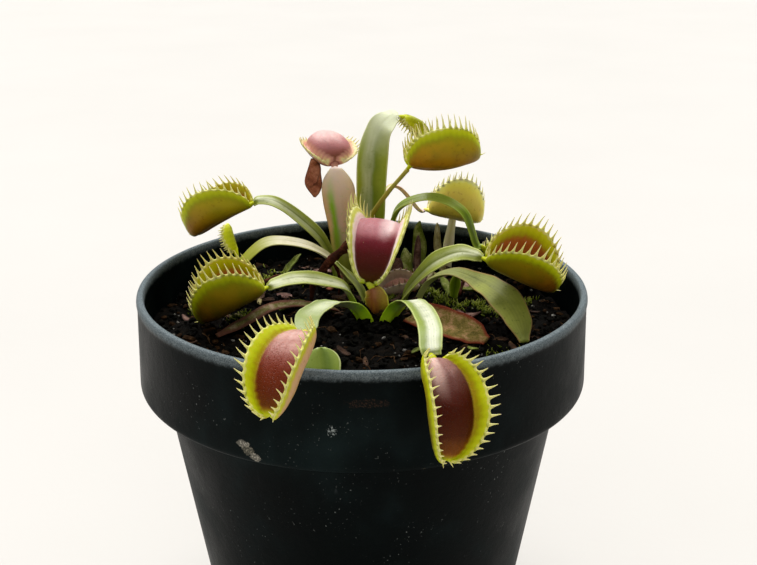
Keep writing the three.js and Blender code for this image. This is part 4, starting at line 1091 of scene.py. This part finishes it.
def crown_scales(seed, x, y, count, radius, length):
    """Seeded places for the dry leaf bases that stand round a rosette's crown and lean outwards."""
    draw = np.random.default_rng(seed)
    places = []
    for k in range(count):
        azimuth = 360 * k / count + draw.uniform(-14, 14)
        dx, dy = polar(radius * draw.uniform(0.8, 1.3), math.radians(azimuth))
        places.append((x + dx, y + dy, 0.9, azimuth, draw.uniform(8, 40), length * draw.uniform(0.7, 1.2),
                       2.6 * draw.uniform(0.7, 1.2)))
    return places


scraps("litter_brown", 31, "1C120C 4A3120 7A5A3E",
       strewn(32, 46, (2.5, 7)) + crown_scales(33, 4, 6, 14, 8.5, 6) + crown_scales(34, 2, 32, 16, 9, 7))
scraps("litter_rosy", 35, "35211C 6E4E44 A08074", strewn(36, 16, (4, 8), 18, 50, 0) + [
    (-24, 30, 1.0, 20, 8, 11, 5), (-14, 36, 1.5, -30, 14, 10, 5), (13, 33, 1.4, 40, 12, 9, 5),
    (22, 35, 1.2, -20, 10, 9, 4.5), (30, 27, 0.8, 70, 6, 9, 4), (-32, 16, 0.7, -60, 6, 8, 4),
    (15, 24, 1.0, 10, 18, 8, 4.5), (16, 36, 6.4, 95, 72, 14, 2.4), (9.5, 27, 3.2, 70, 52, 9, 3.4)])
scraps("litter_green", 37, "3A4214 6E7A28 A8A86A", strewn(38, 9, (3, 6), 20, 48) + [
    (-20, 7.6, 0.9, 21, 4, 13, 4.6), (-22, 38, 2.4, 50, 34, 10, 2.6), (24, 24, 1.6, 110, 30, 9, 2.6),
    (31, 21, 1.2, -40, 16, 10, 3), (12, 40, 2.2, 60, 40, 9, 3), (16.6, 38.5, 8.4, 80, 76, 18, 4.2),
    (12.7, 30.5, 4.8, 100, 62, 11.5, 3.2)])
scraps("litter_russet", 43, "4A2416 9C5A40 CC8C6C", [
    (-14.1, 29.4, 32.4, 95, 78, 11, 4.6), (-13.4, 30.6, 33.2, 60, 66, 7, 3), (-8.5, 24, 1.4, 40, 24, 7, 3.4),
    (13.5, 22, 1.6, 110, 32, 8, 3.6)])
scraps("litter_straw", 39, "6E6234 B4A674 E0D6AE", strewn(40, 8, (3, 6), 16, 48) + [
    (22, 37, 7.8, 118, 72, 17, 2.6), (20, 33, 3.4, 60, 46, 10, 2.2), (-6, 26, 3, 120, 50, 9, 2.4)])
sticks("litter_twigs", "1E0F0A 4A2418 7C4A34", "dead_leaf", [
    ([(-3.8, 17.4, 4.6), (-6.4, 16.6, 3), (-9.2, 15.6, 0.6), (-12.4, 14.6, -2.8), (-14, 13.6, -5.6),
      (-14.6, 12.4, -10.4)], 1.6),
    ([(-8.6, 15.8, 1.2), (-7.4, 15, -1.2), (-6.6, 15.4, -5), (-7, 15.6, -10)], 0.7),
    ([(-12.2, 14.6, -2.6), (-10.6, 13.8, -1.6), (-9.6, 13, 0.2)], 0.75),
    ([(27, 15.4, -9.6), (28.4, 19, -7.2), (29.6, 22, -4.2)], 0.6),
    ([(-30, 26, -9.8), (-25, 29, -8.6), (-20, 31, -9.4)], 0.8),
    ([(8, 46, -9.4), (14, 44, -8.4), (20, 46, -9.2)], 0.8),
    ([(34, 6, -10.4), (37, 10, -9.4), (38, 15, -10)], 0.6)], 6)


def fibres(seed, count):
    """Seeded paths of thin roots that wander over the mix."""
    draw = np.random.default_rng(seed)
    found = []
    for _ in range(count):
        at = np.array(polar(54 * math.sqrt(draw.random()), draw.uniform(0, FULL_TURN)))
        way = draw.normal(size=2)
        way /= np.linalg.norm(way)
        path = []
        for k in range(4):
            x, y = at * min(1, 55.5 / max(np.linalg.norm(at), 1))
            path.append((x, y, ground(x, y) - POT_HEIGHT + 0.25 + 0.5 * draw.random() * (0 < k < 3)))
            way = way + draw.normal(size=2) * 0.45
            at = at + way / np.linalg.norm(way) * draw.uniform(0.8, 2.0)
        found.append((path, draw.uniform(0.08, 0.17)))
    return found


sticks("mix_fibres", "2A1A0E 5A4028 9A7E5C", "potting_mix", fibres(41, 150), 4)


LEAFLET_RINGS = 5
LEAFLET_SIDES = 5


def moss(name, seed, patches):
    """Tufts of moss as one piece: short leaning leaflets, dense in each (x, y, radius, count) patch."""
    draw = np.random.default_rng(seed)
    skin = Skin("tip")
    for px, py, spread, count in patches:
        for _ in range(count):
            x, y = np.array([px, py]) + draw.normal(size=2) * spread * 0.5
            if math.hypot(x, y) > 55:
                continue
            way = unit(np.array([draw.normal() * 0.6, draw.normal() * 0.6, 1.0]))
            length = draw.uniform(0.9, 2.3)
            f = np.linspace(0, 1, LEAFLET_RINGS)
            bend = np.array([draw.normal(), draw.normal(), 0]) * 0.35
            centres = (x, y, ground(x, y) - 0.2) + np.outer(f * length, way) + np.outer(f**2, bend)
            side = unit(np.cross(way, draw.normal(size=3)))
            wide = 0.26 * np.sin(math.pi * np.clip(f + 0.2, 0, 1)) + 0.04
            sides, ups = [side] * LEAFLET_RINGS, [np.cross(side, way)] * LEAFLET_RINGS
            leaflet = bar(centres, sides, ups, wide, wide * 0.5, LEAFLET_SIDES)
            skin.add(*leaflet, tip=per_point(f[:-1], LEAFLET_SIDES, 1))
    g = Graph("moss_leaf", specular=0.15, subsurface=0.1)
    share = g.values("tip")[0] + (g.noise(500) - 0.5) * 1.2
    colour = g.ramp(share, "0 161A06, 0.4 46540E, 0.8 7E8C22, 1 B0B24C")
    place(skin.object(name, [g.finish(colour, 0.6, g.noise(1500), 0.05)]), "potting_mix")


moss("mix_moss", 51, [
    (28.9, 9, 4.5, 260), (34, 4, 3.5, 160), (23, 13, 3, 130), (27, 25, 4, 150), (19, 20, 3, 110),
    (16, 34, 4, 140), (-14, 27, 3.5, 110), (-27, 33, 4.5, 140), (-33, -3, 3.5, 90), (-24, -22, 3, 70),
    (36, -24, 4, 90), (-5, 46, 4, 110), (8, 15, 3, 110), (45, 14, 3, 60), (-46, 10, 3, 60)])


# Stage, light and camera

FLOOR_HALF = 6000
# Azimuth and elevation that each light comes from, its strength and its width in degrees
SUNS = dict(
    window_left=(125, 48, 2.1, 34),
    window_right=(55, 48, 1.8, 34),
    skylight=(95, 76, 1.3, 40),
    soft_front=(-105, 40, 0.45, 80),
)
AIR_COLOUR = (1.0, 0.98, 0.94, 1)
AIR_STRENGTH = 0.3
SENSOR_WIDTH = 36.0
LENS = 55.16
CAMERA_PLACE = (4.31, -293.13, 214.04)
CAMERA_PITCH = 19.5755

floor_corners = [(x * FLOOR_HALF, y * FLOOR_HALF, 0) for x, y in ((-1, -1), (1, -1), (1, 1), (-1, 1))]
g = Graph("floor_paint", specular=0.2)
paint = g.finish(g.mix(g.noise(6), "C4C1BC", "CAC7C2"), 0.7, g.noise(300), 0.05)
floor = make("floor", floor_corners, [(0, 1, 2, 3)], [paint])

scene = bpy.context.scene
for name, (azimuth, elevation, strength, softness) in SUNS.items():
    data = bpy.data.lights.new(name, "SUN")
    data.energy = strength
    data.angle = math.radians(softness)
    light = bpy.data.objects.new(name, data)
    scene.collection.objects.link(light)
    light.rotation_euler = Vector(heading(azimuth, elevation)).to_track_quat("Z", "Y").to_euler()

scene.world = bpy.data.worlds.new("studio")
scene.world.use_nodes = True
air = scene.world.node_tree.nodes["Background"]
air.inputs["Color"].default_value = AIR_COLOUR
air.inputs["Strength"].default_value = AIR_STRENGTH
scene.view_settings.view_transform = "Standard"

camera_data = bpy.data.cameras.new("camera")
camera_data.sensor_width = SENSOR_WIDTH
camera_data.lens = LENS
camera_data.clip_start = 0.01
camera = bpy.data.objects.new("camera", camera_data)
camera.location = Vector(CAMERA_PLACE) * MM
camera.rotation_euler = (math.radians(90 - CAMERA_PITCH), 0, 0)
scene.collection.objects.link(camera)
scene.camera = camera
